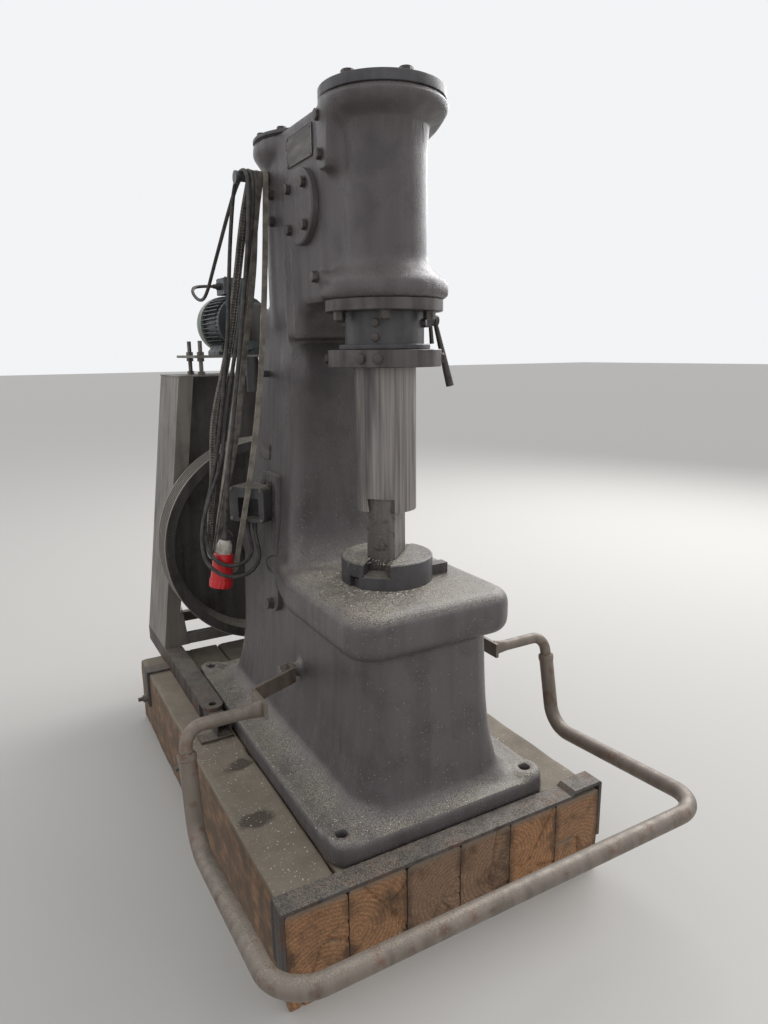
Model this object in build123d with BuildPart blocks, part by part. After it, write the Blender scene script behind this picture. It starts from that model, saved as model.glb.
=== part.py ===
from build123d import *
import math
import os

# Pneumatic forging hammer on a bed of timbers.
# Millimetres, +Z up. The origin is on the floor, straight below the axis of the ram.
# +X is to the right of a person who stands in front of the dies, and +Y is to the rear.

# Bed of timbers
timber_height = 256.0
timber_width = 158.0
timber_gap = 1.0
timber_count = 6
timber_front = -388.0
timber_length = 1578.0
timber_edge = 4.0
bed_left = -488.0
bed_right = bed_left + timber_count * timber_width + (timber_count - 1) * timber_gap

# Heights of the machine are given above the top of the bed
bed_top = timber_height


def above_bed(height):
    return bed_top + height


# Foot of the casting
foot_half_width = 334.0
foot_front = -324.0
foot_rear = 892.0
foot_edge = 52.0
foot_corner = 48.0
foot_hole_radius = 16.0
foot_pad_radius = 42.0
foot_pad_height = 14.0
foot_hole_x = 288.0
foot_hole_front = -270.0
foot_hole_rear = 850.0

# Pedestal. Each section: height, how far it stands out beyond the top of the pedestal at
# the sides, in front and behind, and corner radius
pedestal_half_width = 186.0
pedestal_front = -243.0
pedestal_rear = 738.0
pedestal_sections = (
    (118.0, 34.0, 22.0, 34.0, 70.0),
    (190.0, 21.0, 16.0, 20.0, 74.0),
    (330.0, 10.0, 8.0, 9.0, 75.0),
    (560.0, 0.0, 0.0, 0.0, 75.0),
)

# Below it a quarter of an ellipse sweeps out to the foot, in bands
sweep_bands = 8
sweep_side = 96.0
sweep_front = 42.0
sweep_rear = 104.0
sweep_corner = 20.0

# Anvil table; to the rear it narrows into the column
table_top = 600.0
table_thickness = 118.0
table_half_width = 245.0
table_front = -282.0
table_corner = 78.0
table_round = 38.0
table_shoulder = 160.0
table_rear = 430.0
table_rear_half = 184.0

# Cylinders
ram_radius = 82.0
ram_clearance = 0.3
barrel_radius = 111.0
barrel_bottom = 1346.0
barrel_length = 477.0
barrel_top = barrel_bottom + barrel_length
flange_radius = 162.0
flange_rise = 67.0
lower_flange_radius = 165.0
lower_flange_height = 40.0
flare = 43.0
compressor_radius = 134.0
compressor_flange_radius = 164.0
compressor_flange_rise = 34.0
compressor_y = 450.0
compressor_top = barrel_top - 11
compressor_skirt = 60.0
housing_half_width = 131.0
housing_top = compressor_top
housing_wall_front = 90.0
housing_front_half = 104.0
pad_front = -2.0
pad_rear = 62.0
pad_out = 153.0
pad_height = 143.0
lug_radius = 18.0
lug_out = 178.0
lug_y = 30.0
lug_rise = 54.0

# The column sweeps up from the table. Each section: height, half width at its front and
# at its rear, its front and its rear
column_front = 264.0
column_corner = 40.0
throat_arc = 90.0
column_sections = (
    (545.0, 212.0, 187.0, 150.0, 740.0),
    (table_top, 203.0, 185.0, 192.0, 736.0),
    (650.0, 188.0, 180.0, 230.0, 728.0),
    (700.0, 177.0, 174.0, 250.0, 719.0),
    (790.0, 165.0, 164.0, 262.0, 702.0),
    (1000.0, 149.0, 148.0, 268.0, 664.0),
    (1200.0, 136.0, 136.0, 267.0, 624.0),
    (barrel_bottom, 132.0, 132.0, column_front, 600.0),
)

# Covers
cover_radius = 154.0
cover_thickness = 22.0
compressor_cover_radius = 162.0
compressor_cover_thickness = 20.0

# Gland, guide neck and collar below the ram cylinder
gland_radius = 152.0
gland_thickness = 30.0
neck_radius = 103.0
neck_height = 81.0
step_radius = 119.0
step_height = 13.0
collar_radius = 148.5
collar_thickness = 44.0

# Ram and dies
ram_bottom = 800.0
ram_length = 760.0
ram_flat_distance = 68.0
die_turn = -45.0
die_width = 77.0
die_length = 114.0
die_seam = 735.0
die_gap = 0.3
tail_width = 56.0
tail_height = 34.0
tail_angle = 8.0
holder_radius = 127.0
holder_height = 69.5

# Wedge across the foot of the die holder, and its keyway in the table
wedge_width = 32.0
wedge_height = 30.0
wedge_y = -36.0
wedge_out = 42.0
wedge_taper = 5.0
keyway_length = 110.0
keyway_width = 40.0
keyway_depth = 10.0

# Pivots of the treadle
treadle_y = 180.0
treadle_height = 300.0
pivot_boss_radius = 22.0
pivot_boss_out = 225.0
pivot_radius = 14.0
pivot_clearance = 0.05

# Crankshaft and flywheel
shaft_radius = 35.0
shaft_clearance = 0.05
shaft_height = 489.0
shaft_front = 640.0
boss_radius = 96.0
boss_rear = 898.0
bearing_cover_radius = 112.0
bearing_cover_thickness = 18.0
wheel_radius = 403.0
wheel_front = 962.0
wheel_width = 117.0
rim_thickness = 36.0
web_thickness = 22.0
hub_radius = 78.0
hub_front = 925.0
groove_count = 5
groove_pitch = 20.0
groove_depth = 14.0
groove_top_width = 16.0
groove_root_width = 9.0

# Motor stand
stand_front = 1102.0
stand_depth = 300.0
stand_top = 1135.0
stand_foot = 62.0
stand_half_top = 272.0
stand_half_foot = 405.0
sheet = 4.0
stand_flange = 55.0
rail_width = 68.0
rail_front = 600.0
rail_gap = 4.0

# Motor
motor_plate_gap = 65.0
motor_plate_bottom = stand_top + motor_plate_gap
motor_plate_thickness = 10.0
motor_plate_half = 205.0
rod_radius = 8.0
rod_x = 175.0
rod_front = 1135.0
rod_pitch = 160.0
rod_length = 130.0
motor_shaft_rise = 132.0
motor_axis = motor_plate_bottom + motor_shaft_rise
motor_radius = 112.0
motor_front = 1112.0
motor_length = 190.0
shield_thickness = 26.0
cowl_length = 72.0
fin_depth = 15.0
fin_thickness = 3.5
fin_root = 4.0
fin_count = 40

os.makedirs("parts", exist_ok=True)


def save(builder, name):
    builder.part.label = name
    export_step(builder.part, "parts/" + name + ".step")


# Bed timbers, bored across for the rods that tie them together
tie_radius = 8.0
tie_height = 146.0
tie_front = 500.0
tie_rear = 1061.0
with BuildPart() as bed_timbers:
    for index in range(timber_count):
        left = bed_left + index * (timber_width + timber_gap)
        with BuildSketch(Plane.XZ.offset(-timber_front)):
            with Locations((left + timber_width / 2, timber_height / 2)):
                RectangleRounded(timber_width, timber_height, timber_edge)
        extrude(amount=-timber_length)
    with BuildSketch(Plane.YZ):
        with Locations((tie_front, tie_height), (tie_rear, tie_height)):
            Circle(tie_radius)
    extrude(amount=bed_right - bed_left, both=True, mode=Mode.SUBTRACT)
save(bed_timbers, "bed_timbers")

# Steel strip that ties the timbers together in front of the foot, bent down at both ends
strip_depth = 60.0
strip_thickness = 10.0
strip_rise = 12.0
strip_joggle = 360.0
strip_lean = 14.0
strip_leg = 150.0
strip_bend = 9.0
with BuildPart() as front_tie_plate:
    with BuildSketch(Plane.XZ.offset(-timber_front)) as strip_section:
        with BuildLine():
            Polyline(
                (bed_left, bed_top - strip_leg),
                (bed_left, bed_top),
                (strip_joggle, bed_top),
                (strip_joggle + strip_lean, bed_top + strip_rise),
                (bed_right, bed_top + strip_rise),
                (bed_right, bed_top - strip_leg),
                (bed_right + strip_thickness, bed_top - strip_leg),
                (bed_right + strip_thickness, bed_top + strip_rise + strip_thickness),
                (strip_joggle + strip_lean, bed_top + strip_rise + strip_thickness),
                (strip_joggle, bed_top + strip_thickness),
                (bed_left - strip_thickness, bed_top + strip_thickness),
                (bed_left - strip_thickness, bed_top - strip_leg),
                close=True,
            )
        make_face()
        for end in (0, -1):
            outer = strip_section.vertices().group_by(Axis.X)[end].sort_by(Axis.Y)[-1]
            fillet(outer, strip_bend)
    extrude(amount=-strip_depth)
save(front_tie_plate, "front_tie_plate")

# Anvil table, rounded in plan and along its edges
with BuildPart() as table:
    with BuildSketch(Plane.XY.offset(above_bed(table_top - table_thickness))):
        with BuildLine():
            FilletPolyline(
                (-table_half_width, table_front),
                (table_half_width, table_front),
                (table_half_width, table_shoulder),
                (table_rear_half, table_rear),
                (-table_rear_half, table_rear),
                (-table_half_width, table_shoulder),
                radius=(table_corner, table_corner, 150, 20, 20, 150),
                close=True,
            )
        make_face()
    extrude(amount=table_thickness)
    fillet(table.faces().sort_by(Axis.Z)[-1].edges(), table_round)
    fillet(table.faces().sort_by(Axis.Z)[0].edges(), table_round)


def turned_casting(centre_y, profile, radii):
    # Cylinder with rounded flanges: its profile from axis to axis, turned upright
    with BuildPart() as turned:
        with BuildSketch(Plane.XZ):
            with BuildLine():
                FilletPolyline(*profile, radius=radii)
                Line(profile[-1], profile[0])
            make_face()
        revolve(axis=Axis.Z)
    return turned.part.moved(Location((0, centre_y, bed_top)))


lower_flare = barrel_bottom + lower_flange_height
upper_flare = barrel_top - flange_rise
ram_cylinder = turned_casting(
    0,
    (
        (0, barrel_bottom),
        (lower_flange_radius, barrel_bottom),
        (lower_flange_radius, lower_flare),
        (barrel_radius, lower_flare + flare),
        (barrel_radius, upper_flare - flare),
        (flange_radius, upper_flare),
        (flange_radius - 6, barrel_top),
        (0, barrel_top),
    ),
    (10, 24, 40, 42, 22, 2),
)
compressor_flare = compressor_top - compressor_flange_rise
compressor_cylinder = turned_casting(
    compressor_y,
    (
        (0, barrel_bottom - compressor_skirt),
        (compressor_radius, barrel_bottom - compressor_skirt),
        (compressor_radius, compressor_flare - flare),
        (compressor_flange_radius, compressor_flare),
        (compressor_flange_radius - 3, compressor_top),
        (0, compressor_top),
    ),
    (8, 36, 12, 2),
)

# Curved ceiling of the throat, between the column and the ram cylinder
with BuildPart() as throat_ceiling:
    ceiling_front = column_front - 2 - throat_arc
    arc_middle = throat_arc * math.sqrt(0.5)
    with BuildSketch(Plane.YZ):
        with BuildLine():
            ceiling_arc = ThreePointArc(
                (ceiling_front, above_bed(barrel_bottom)),
                (
                    ceiling_front + arc_middle,
                    above_bed(barrel_bottom - throat_arc + arc_middle),
                ),
                (ceiling_front + throat_arc, above_bed(barrel_bottom - throat_arc)),
            )
            Polyline(
                ceiling_arc @ 1,
                (column_front + throat_arc, above_bed(barrel_bottom - throat_arc)),
                (column_front + throat_arc, above_bed(barrel_bottom + throat_arc)),
                (ceiling_front, above_bed(barrel_bottom + throat_arc)),
                ceiling_arc @ 0,
            )
        make_face()
    extrude(amount=housing_half_width, both=True)
    fillet(throat_ceiling.edges().filter_by(GeomType.CIRCLE), column_corner - 12)

# The frame is one casting: foot, pedestal, table, column and both cylinders
foot_length = foot_rear - foot_front
foot_middle = (foot_rear + foot_front) / 2
with BuildPart() as hammer_frame:
    for height, side_out, front_out, rear_out, corner in pedestal_sections:
        front = pedestal_front - front_out
        rear = pedestal_rear + rear_out
        with BuildSketch(Plane.XY.offset(above_bed(height))):
            with Locations((0, (front + rear) / 2)):
                RectangleRounded(2 * (pedestal_half_width + side_out), rear - front, corner)
    loft()
    sweep_top, side_out, front_out, rear_out, corner = pedestal_sections[0]
    for band in range(sweep_bands + 1):
        turn = math.radians(90 * band / sweep_bands)
        spread = 1 - math.sin(turn)
        front = pedestal_front - front_out - spread * sweep_front
        rear = pedestal_rear + rear_out + spread * sweep_rear
        half_width = pedestal_half_width + side_out + spread * sweep_side
        drop = (sweep_top - foot_edge) * math.cos(turn)
        with BuildSketch(Plane.XY.offset(above_bed(sweep_top - drop))):
            with Locations((0, (front + rear) / 2)):
                RectangleRounded(2 * half_width, rear - front, corner - spread * sweep_corner)
    loft(ruled=True)
    for height, front_half, rear_half, front, rear in column_sections:
        with BuildSketch(Plane.XY.offset(above_bed(height))):
            with BuildLine():
                FilletPolyline(
                    (-front_half, front),
                    (front_half, front),
                    (rear_half, rear),
                    (-rear_half, rear),
                    radius=column_corner,
                    close=True,
                )
            make_face()
    loft()
    with BuildSketch(Plane.XY.offset(bed_top)):
        with Locations((0, foot_middle)):
            RectangleRounded(2 * foot_half_width, foot_length, foot_corner)
    extrude(amount=foot_edge, taper=4)
    add(table.part)
    add(throat_ceiling.part)
    with BuildSketch(Plane.XY.offset(above_bed(barrel_bottom))):
        with BuildLine():
            Polyline(
                (-housing_half_width, housing_wall_front),
                (-housing_front_half, 0),
                (housing_front_half, 0),
                (housing_half_width, housing_wall_front),
                (housing_half_width, compressor_y),
                (-housing_half_width, compressor_y),
                close=True,
            )
        make_face()
    extrude(amount=housing_top - barrel_bottom)
    add(compressor_cylinder)
    add(ram_cylinder)
    with BuildSketch(Plane.YZ.offset(-pad_out)):
        with Locations(
            ((pad_front + pad_rear) / 2, above_bed(barrel_top - flange_rise / 2 - pad_height / 2))
        ):
            RectangleRounded(pad_rear - pad_front, pad_height, 26)
    extrude(amount=pad_out - housing_front_half / 2)
    with BuildSketch(Plane.YZ.offset(-lug_out)):
        with Locations((lug_y, above_bed(barrel_bottom + lug_rise))):
            Circle(lug_radius)
    extrude(amount=lug_out - housing_front_half / 2)
    with BuildSketch(Plane.YZ.offset(-pivot_boss_out)):
        with Locations((treadle_y, above_bed(treadle_height))):
            Circle(pivot_boss_radius)
    extrude(amount=2 * pivot_boss_out)
    with BuildSketch(Plane.XZ.offset(-column_front - 100)):
        with Locations((0, above_bed(shaft_height))):
            Circle(boss_radius)
    extrude(amount=-(boss_rear - column_front - 100))
    with BuildSketch(Plane.XZ.offset(-shaft_front)):
        with Locations((0, above_bed(shaft_height))):
            Circle(shaft_radius + shaft_clearance)
    extrude(amount=-(boss_rear - shaft_front), mode=Mode.SUBTRACT)
    with BuildSketch(Plane.XY.offset(above_bed(barrel_bottom))):
        Circle(ram_radius + ram_clearance)
    extrude(amount=barrel_top - barrel_bottom, mode=Mode.SUBTRACT)
    with BuildSketch(Plane.XY.offset(above_bed(table_top))):
        with Locations((-table_half_width, wedge_y)):
            Rectangle(2 * keyway_length, keyway_width)
    extrude(amount=-keyway_depth, mode=Mode.SUBTRACT)
    foot_pad_top = foot_edge + foot_pad_height
    with Locations((0, (foot_hole_front + foot_hole_rear) / 2, bed_top)):
        with GridLocations(2 * foot_hole_x, foot_hole_rear - foot_hole_front, 2, 2):
            Cylinder(
                foot_pad_radius, foot_pad_top, align=(Align.CENTER, Align.CENTER, Align.MIN)
            )
    with Locations((0, (foot_hole_front + foot_hole_rear) / 2, bed_top + foot_pad_top)):
        with GridLocations(2 * foot_hole_x, foot_hole_rear - foot_hole_front, 2, 2):
            Hole(foot_hole_radius, depth=foot_pad_top)
save(hammer_frame, "hammer_frame")


def side_half_width(height):
    # Half width of the casting at the rear of its column, by straight lines between sections
    walls = [(row[0], pedestal_half_width + row[1]) for row in pedestal_sections]
    walls += [(row[0], row[2]) for row in column_sections[1:]]
    for (low, low_half), (high, high_half) in zip(walls, walls[1:]):
        if low <= height <= high:
            return low_half + (high_half - low_half) * (height - low) / (high - low)


# Covers that close the two cylinders
with BuildPart() as cylinder_covers:
    with BuildSketch(Plane.XY.offset(above_bed(barrel_top))):
        Circle(cover_radius)
    extrude(amount=cover_thickness)
    with BuildSketch(Plane.XY.offset(above_bed(compressor_top))):
        with Locations((0, compressor_y)):
            Circle(compressor_cover_radius)
    extrude(amount=compressor_cover_thickness)
    chamfer(cylinder_covers.edges().filter_by(GeomType.CIRCLE).group_by(Axis.Z)[-1], 3)
save(cylinder_covers, "cylinder_covers")


def ring(name, top, steps):
    # A turned piece with the bore that guides the ram; steps are its radii and heights
    with BuildPart() as plate:
        step_top = top
        for outer, height in steps:
            with BuildSketch(Plane.XY.offset(above_bed(step_top))):
                Circle(outer)
            extrude(amount=-height)
            step_top -= height
        chamfer(plate.edges().filter_by(GeomType.CIRCLE).group_by(SortBy.RADIUS)[-1], 2)
        with BuildSketch(Plane.XY.offset(above_bed(top))):
            Circle(ram_radius + ram_clearance)
        extrude(amount=step_top - top, mode=Mode.SUBTRACT)
    save(plate, name)


# Gland ring, guide neck and clamp collar under the ram cylinder
gland_bottom = barrel_bottom - gland_thickness
neck_bottom = gland_bottom - neck_height
step_bottom = neck_bottom - step_height
ring("gland_ring", barrel_bottom, ((gland_radius, gland_thickness),))
ring("guide_neck", gland_bottom, ((neck_radius, neck_height), (step_radius, step_height)))
ring("guide_collar", step_bottom, ((collar_radius, collar_thickness),))

# Round cover and bare nameplate on the left side of the housing
side_cover_radius = 96.0
side_cover_thickness = 20.0
side_cover_y = 196.0
side_cover_height = barrel_bottom + 246
left_wall = Plane((-housing_half_width, 0, 0), x_dir=(0, -1, 0), z_dir=(-1, 0, 0))
with BuildPart() as round_side_cover:
    with BuildSketch(left_wall):
        with Locations((-side_cover_y, above_bed(side_cover_height))):
            Circle(side_cover_radius)
    extrude(amount=side_cover_thickness)
    chamfer(round_side_cover.faces().sort_by(Axis.X)[0].edges(), 4)
save(round_side_cover, "round_side_cover")

plate_width = 168.0
plate_height = 78.0
plate_thickness = 3.0
plate_y = 211.0
plate_middle = barrel_bottom + 398
with BuildPart() as blank_nameplate:
    with BuildSketch(left_wall):
        with Locations((-plate_y, above_bed(plate_middle))):
            RectangleRounded(plate_width, plate_height, 5)
    extrude(amount=plate_thickness)
save(blank_nameplate, "blank_nameplate")

# Die holder, a round block with a slot across it for the tail of the lower die
def die_section(base):
    # Section across the die: +X across its length, +Y up, standing on the ram axis
    return Plane(
        origin=(0, 0, above_bed(base)),
        x_dir=(math.cos(math.radians(die_turn)), math.sin(math.radians(die_turn)), 0),
        z_dir=(math.sin(math.radians(die_turn)), -math.cos(math.radians(die_turn)), 0),
    )


def tail_points(width, height, up):
    # Dovetail that is wider at its free end
    spread = height * math.tan(math.radians(tail_angle))
    return [
        (-width / 2, 0),
        (-width / 2 - spread, up * height),
        (width / 2 + spread, up * height),
        (width / 2, 0),
    ]


holder_top = table_top + holder_height
key_width = 14.0
tail_fit = 0.3
tail_spread = tail_height * math.tan(math.radians(tail_angle))


def slot_points(up):
    # Slot for a tail, with one sloping wall and one straight wall for the key
    return [
        (-tail_width / 2 - tail_fit, -up),
        (-tail_width / 2 - tail_spread - tail_fit, up * (tail_height + 1)),
        (tail_width / 2 + key_width, up * (tail_height + 1)),
        (tail_width / 2 + key_width, -up),
    ]


def tail_key(name, seat, up, half_length):
    # Key that is driven in beside a tail
    with BuildPart() as key:
        with BuildSketch(die_section(seat)):
            with BuildLine():
                Polyline(
                    (tail_width / 2 + tail_fit, up),
                    (tail_width / 2 + tail_spread + tail_fit, up * tail_height),
                    (tail_width / 2 + key_width - tail_fit, up * tail_height),
                    (tail_width / 2 + key_width - tail_fit, up),
                    close=True,
                )
            make_face()
        extrude(amount=half_length, both=True)
    save(key, name)


with BuildPart() as die_holder:
    with BuildSketch(Plane.XY.offset(above_bed(table_top))):
        Circle(holder_radius)
    extrude(amount=holder_height)
    chamfer(die_holder.faces().sort_by(Axis.Z)[-1].edges(), 3)
    with BuildSketch(die_section(holder_top)):
        with BuildLine():
            Polyline(*slot_points(-1), close=True)
        make_face()
    extrude(amount=holder_radius + 5, both=True, mode=Mode.SUBTRACT)
    with BuildSketch(Plane.YZ):
        with Locations((wedge_y, above_bed(table_top))):
            Rectangle(
                wedge_width + 2 * tail_fit,
                wedge_height + tail_fit,
                align=(Align.CENTER, Align.MIN),
            )
    extrude(amount=holder_radius + 5, both=True, mode=Mode.SUBTRACT)
save(die_holder, "die_holder")
tail_key("lower_die_key", holder_top, -1, holder_radius - 16)

# Wedge that is driven through the foot of the holder from the right
with BuildPart() as holder_wedge:
    with BuildSketch(Plane.XZ.offset(-wedge_y + wedge_width / 2)):
        with BuildLine():
            Polyline(
                (-holder_radius + 12, above_bed(table_top)),
                (holder_radius + wedge_out, above_bed(table_top)),
                (holder_radius + wedge_out, above_bed(table_top + wedge_height)),
                (-holder_radius + 12, above_bed(table_top + wedge_height - wedge_taper)),
                close=True,
            )
        make_face()
    extrude(amount=-wedge_width)
save(holder_wedge, "holder_wedge")


def die(name, seat, up):
    # up is 1 for the lower die, whose tail points down, and -1 for the upper die
    height = abs(die_seam - seat) - die_gap / 2
    with BuildPart() as block:
        with BuildSketch(die_section(seat)):
            Rectangle(die_width, height, align=(Align.CENTER, Align.MIN if up > 0 else Align.MAX))
        extrude(amount=die_length / 2, both=True)
        with BuildSketch(die_section(seat)):
            with BuildLine():
                Polyline(*tail_points(tail_width, tail_height, -up), close=True)
            make_face()
        extrude(amount=die_length / 2, both=True)
    save(block, name)


die("lower_die", holder_top, 1)

# Ram, a round bar with one flat and a slot for the tail of the upper die
with BuildPart() as ram:
    with BuildSketch(Plane.XY.offset(above_bed(ram_bottom))):
        Circle(ram_radius)
        with Locations(Location((0, 0), die_turn)):
            with Locations((0, -ram_flat_distance)):
                Rectangle(
                    2 * ram_radius,
                    ram_radius,
                    align=(Align.CENTER, Align.MAX),
                    mode=Mode.SUBTRACT,
                )
    extrude(amount=ram_length)
    with BuildSketch(die_section(ram_bottom)):
        with BuildLine():
            Polyline(*slot_points(1), close=True)
        make_face()
    extrude(amount=ram_radius + 5, both=True, mode=Mode.SUBTRACT)
save(ram, "ram")
die("upper_die", ram_bottom, -1)
tail_key("upper_die_key", ram_bottom, 1, ram_radius - 18)

# Crankshaft end with the flywheel
with BuildPart() as bearing_cover:
    with BuildSketch(Plane.XZ.offset(-boss_rear)):
        with Locations((0, above_bed(shaft_height))):
            Circle(bearing_cover_radius)
            Circle(shaft_radius + 1, mode=Mode.SUBTRACT)
    extrude(amount=-bearing_cover_thickness)
save(bearing_cover, "bearing_cover")

wheel_rear = wheel_front + wheel_width
shaft_end = wheel_rear + 12
with BuildPart() as crankshaft:
    with BuildSketch(Plane.XZ.offset(-shaft_front - 5)):
        with Locations((0, above_bed(shaft_height))):
            Circle(shaft_radius)
    extrude(amount=-(shaft_end - shaft_front - 5))
save(crankshaft, "crankshaft")

groove_start = (wheel_width - (groove_count - 1) * groove_pitch) / 2
web_rear = wheel_rear - 20
with BuildPart() as flywheel:
    with BuildSketch(Plane.YZ):
        with BuildLine():
            outline = [
                (wheel_front, wheel_radius - rim_thickness),
                (wheel_front, wheel_radius),
            ]
            for groove in range(groove_count):
                middle = wheel_front + groove_start + groove * groove_pitch
                outline.append((middle - groove_top_width / 2, wheel_radius))
                outline.append((middle - groove_root_width / 2, wheel_radius - groove_depth))
                outline.append((middle + groove_root_width / 2, wheel_radius - groove_depth))
                outline.append((middle + groove_top_width / 2, wheel_radius))
            outline += [
                (wheel_rear, wheel_radius),
                (wheel_rear, wheel_radius - rim_thickness),
                (web_rear, wheel_radius - rim_thickness - 14),
                (web_rear, hub_radius + 10),
                (wheel_rear, hub_radius),
                (wheel_rear, shaft_radius),
                (hub_front, shaft_radius),
                (hub_front, hub_radius),
                (web_rear - web_thickness, hub_radius + 10),
                (web_rear - web_thickness, wheel_radius - rim_thickness - 14),
            ]
            Polyline(*outline, close=True)
        make_face()
    revolve(axis=Axis.Y)
    wheel_place = Location((0, 0, above_bed(shaft_height)))
flywheel.part = flywheel.part.moved(wheel_place)
save(flywheel, "flywheel")

# Motor stand: a box of bent sheet, open to the front, wider at its foot
stand_rear = stand_front + stand_depth
stand_height = stand_top - sheet - stand_foot
stand_lean = (stand_half_foot - stand_half_top) / stand_height
gusset_width = 48.0
gusset_height = 225.0


def stand_side(side):
    # One side: a sloping sheet with a flange turned in along its front edge
    foot = side * stand_half_foot
    head = side * stand_half_top
    with BuildPart() as panel:
        with BuildSketch(Plane.XZ.offset(-stand_front)):
            with BuildLine():
                Polyline(
                    (foot, above_bed(stand_foot)),
                    (head, above_bed(stand_top - sheet)),
                    (head - side * sheet, above_bed(stand_top - sheet)),
                    (foot - side * sheet, above_bed(stand_foot)),
                    close=True,
                )
            make_face()
        extrude(amount=-stand_depth)
        with BuildSketch(Plane.XZ.offset(-stand_front)):
            with BuildLine():
                Polyline(
                    (foot, above_bed(stand_foot)),
                    (head, above_bed(stand_top - sheet)),
                    (head - side * stand_flange, above_bed(stand_top - sheet)),
                    (foot - side * stand_flange, above_bed(stand_foot)),
                    close=True,
                )
            make_face()
        extrude(amount=-sheet)
        inner = side * stand_flange - side * sheet
        with BuildSketch(Plane.XZ.offset(-stand_front)):
            with BuildLine():
                Polyline(
                    (foot - inner, above_bed(stand_foot)),
                    (foot - inner - side * gusset_width, above_bed(stand_foot)),
                    (foot - inner - side * stand_lean * gusset_height, above_bed(gusset_height)),
                    close=True,
                )
            make_face()
        extrude(amount=-sheet)
    return panel.part


with BuildPart() as stand_sides:
    add(stand_side(-1))
    add(stand_side(1))
save(stand_sides, "stand_sides")

back_foot = 150.0
back_foot_half = stand_half_foot - sheet - stand_lean * (back_foot - stand_foot)
with BuildPart() as stand_back_panel:
    with BuildSketch(Plane.XZ.offset(-stand_rear)):
        with BuildLine():
            Polyline(
                (-back_foot_half, above_bed(back_foot)),
                (-stand_half_top + sheet, above_bed(stand_top - sheet)),
                (stand_half_top - sheet, above_bed(stand_top - sheet)),
                (back_foot_half, above_bed(back_foot)),
                close=True,
            )
        make_face()
    extrude(amount=sheet)
save(stand_back_panel, "stand_back_panel")

with BuildPart() as stand_top_plate:
    with BuildSketch(Plane.XY.offset(above_bed(stand_top - sheet))):
        with Locations((0, (stand_front + stand_rear) / 2)):
            RectangleRounded(2 * stand_half_top + 8, stand_depth, 4)
    extrude(amount=sheet)
save(stand_top_plate, "stand_top_plate")

bar_height = 42.0
bar_depth = 30.0
bar_half = foot_half_width + rail_gap + rail_width / 2
with BuildPart() as stand_cross_bars:
    for bar_y in (stand_front + sheet, stand_rear - sheet - bar_depth):
        with BuildSketch(Plane.XY.offset(above_bed(stand_foot))):
            with Locations((0, bar_y + bar_depth / 2)):
                Rectangle(2 * bar_half, bar_depth)
        extrude(amount=bar_height)
save(stand_cross_bars, "stand_cross_bars")

# Two rails carry the stand and run forward beside the foot of the casting. Each ends in a
# tongue with a lifting eye on top and a short square tube on a flat bar below
rail_inner = foot_half_width + rail_gap
rail_middle = rail_inner + rail_width / 2
rail_rear = stand_rear
eye_radius = 13.0
tongue_length = 84.0
tongue_thickness = 12.0
tube_size = 48.0
tube_wall = 5.0
tube_front = 424.0
bar_thickness = 8.0
bar_length = 108.0
with BuildPart() as stand_rails:
    for side in (-1, 1):
        with BuildSketch(Plane.XY.offset(bed_top)):
            with Locations((side * rail_middle, (rail_front + rail_rear) / 2)):
                Rectangle(rail_width, rail_rear - rail_front)
        extrude(amount=stand_foot)
        tongue_end = rail_front - tongue_length + rail_width / 2
        with BuildSketch(Plane.XY.offset(bed_top + stand_foot)):
            with Locations((side * rail_middle, (tongue_end + rail_front + 20) / 2)):
                Rectangle(rail_width, rail_front + 20 - tongue_end)
            with Locations((side * rail_middle, tongue_end)):
                Circle(rail_width / 2)
                Circle(eye_radius, mode=Mode.SUBTRACT)
        extrude(amount=-tongue_thickness)
        with BuildSketch(Plane.XZ.offset(-tube_front)):
            with Locations((side * rail_middle, bed_top + bar_thickness + tube_size / 2 - 4)):
                Rectangle(tube_size, tube_size - 8)
                Rectangle(tube_size - 2 * tube_wall, tube_size - 8 - 2 * tube_wall, mode=Mode.SUBTRACT)
        extrude(amount=-(rail_front - tube_front))
        with BuildSketch(Plane.XY.offset(bed_top)):
            with Locations((side * (rail_middle + 24), tube_front + 16)):
                Rectangle(bar_length, 50)
        extrude(amount=bar_thickness)
save(stand_rails, "stand_rails")

# Motor plate on four threaded rods
with BuildPart() as motor_plate:
    with BuildSketch(Plane.XY.offset(above_bed(motor_plate_bottom))):
        with Locations((0, (stand_front + stand_rear) / 2)):
            RectangleRounded(2 * motor_plate_half, stand_depth - 10, 10)
        with Locations((0, rod_front + rod_pitch / 2)):
            with GridLocations(2 * rod_x, rod_pitch, 2, 2):
                Circle(rod_radius + 0.5, mode=Mode.SUBTRACT)
    extrude(amount=motor_plate_thickness)
save(motor_plate, "motor_plate")

nut_width = 24.0
nut_height = 13.0
with BuildPart() as adjusting_rods:
    with Locations((0, rod_front + rod_pitch / 2, above_bed(stand_top))):
        with GridLocations(2 * rod_x, rod_pitch, 2, 2):
            Cylinder(rod_radius, rod_length, align=(Align.CENTER, Align.CENTER, Align.MIN))
    nut_seats = (
        stand_top,
        motor_plate_bottom - nut_height,
        motor_plate_bottom + motor_plate_thickness,
    )
    for nut_seat in nut_seats:
        with BuildSketch(Plane.XY.offset(above_bed(nut_seat))):
            with Locations((0, rod_front + rod_pitch / 2)):
                with GridLocations(2 * rod_x, rod_pitch, 2, 2):
                    RegularPolygon(nut_width / 2, 6, major_radius=False)
        extrude(amount=nut_height)
save(adjusting_rods, "adjusting_rods")


def along_motor(distance):
    # Plane across the motor's shaft, looking along +Y from its front
    return Plane(
        origin=(0, distance, above_bed(motor_axis)),
        x_dir=(1, 0, 0),
        z_dir=(0, -1, 0),
    )


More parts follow.
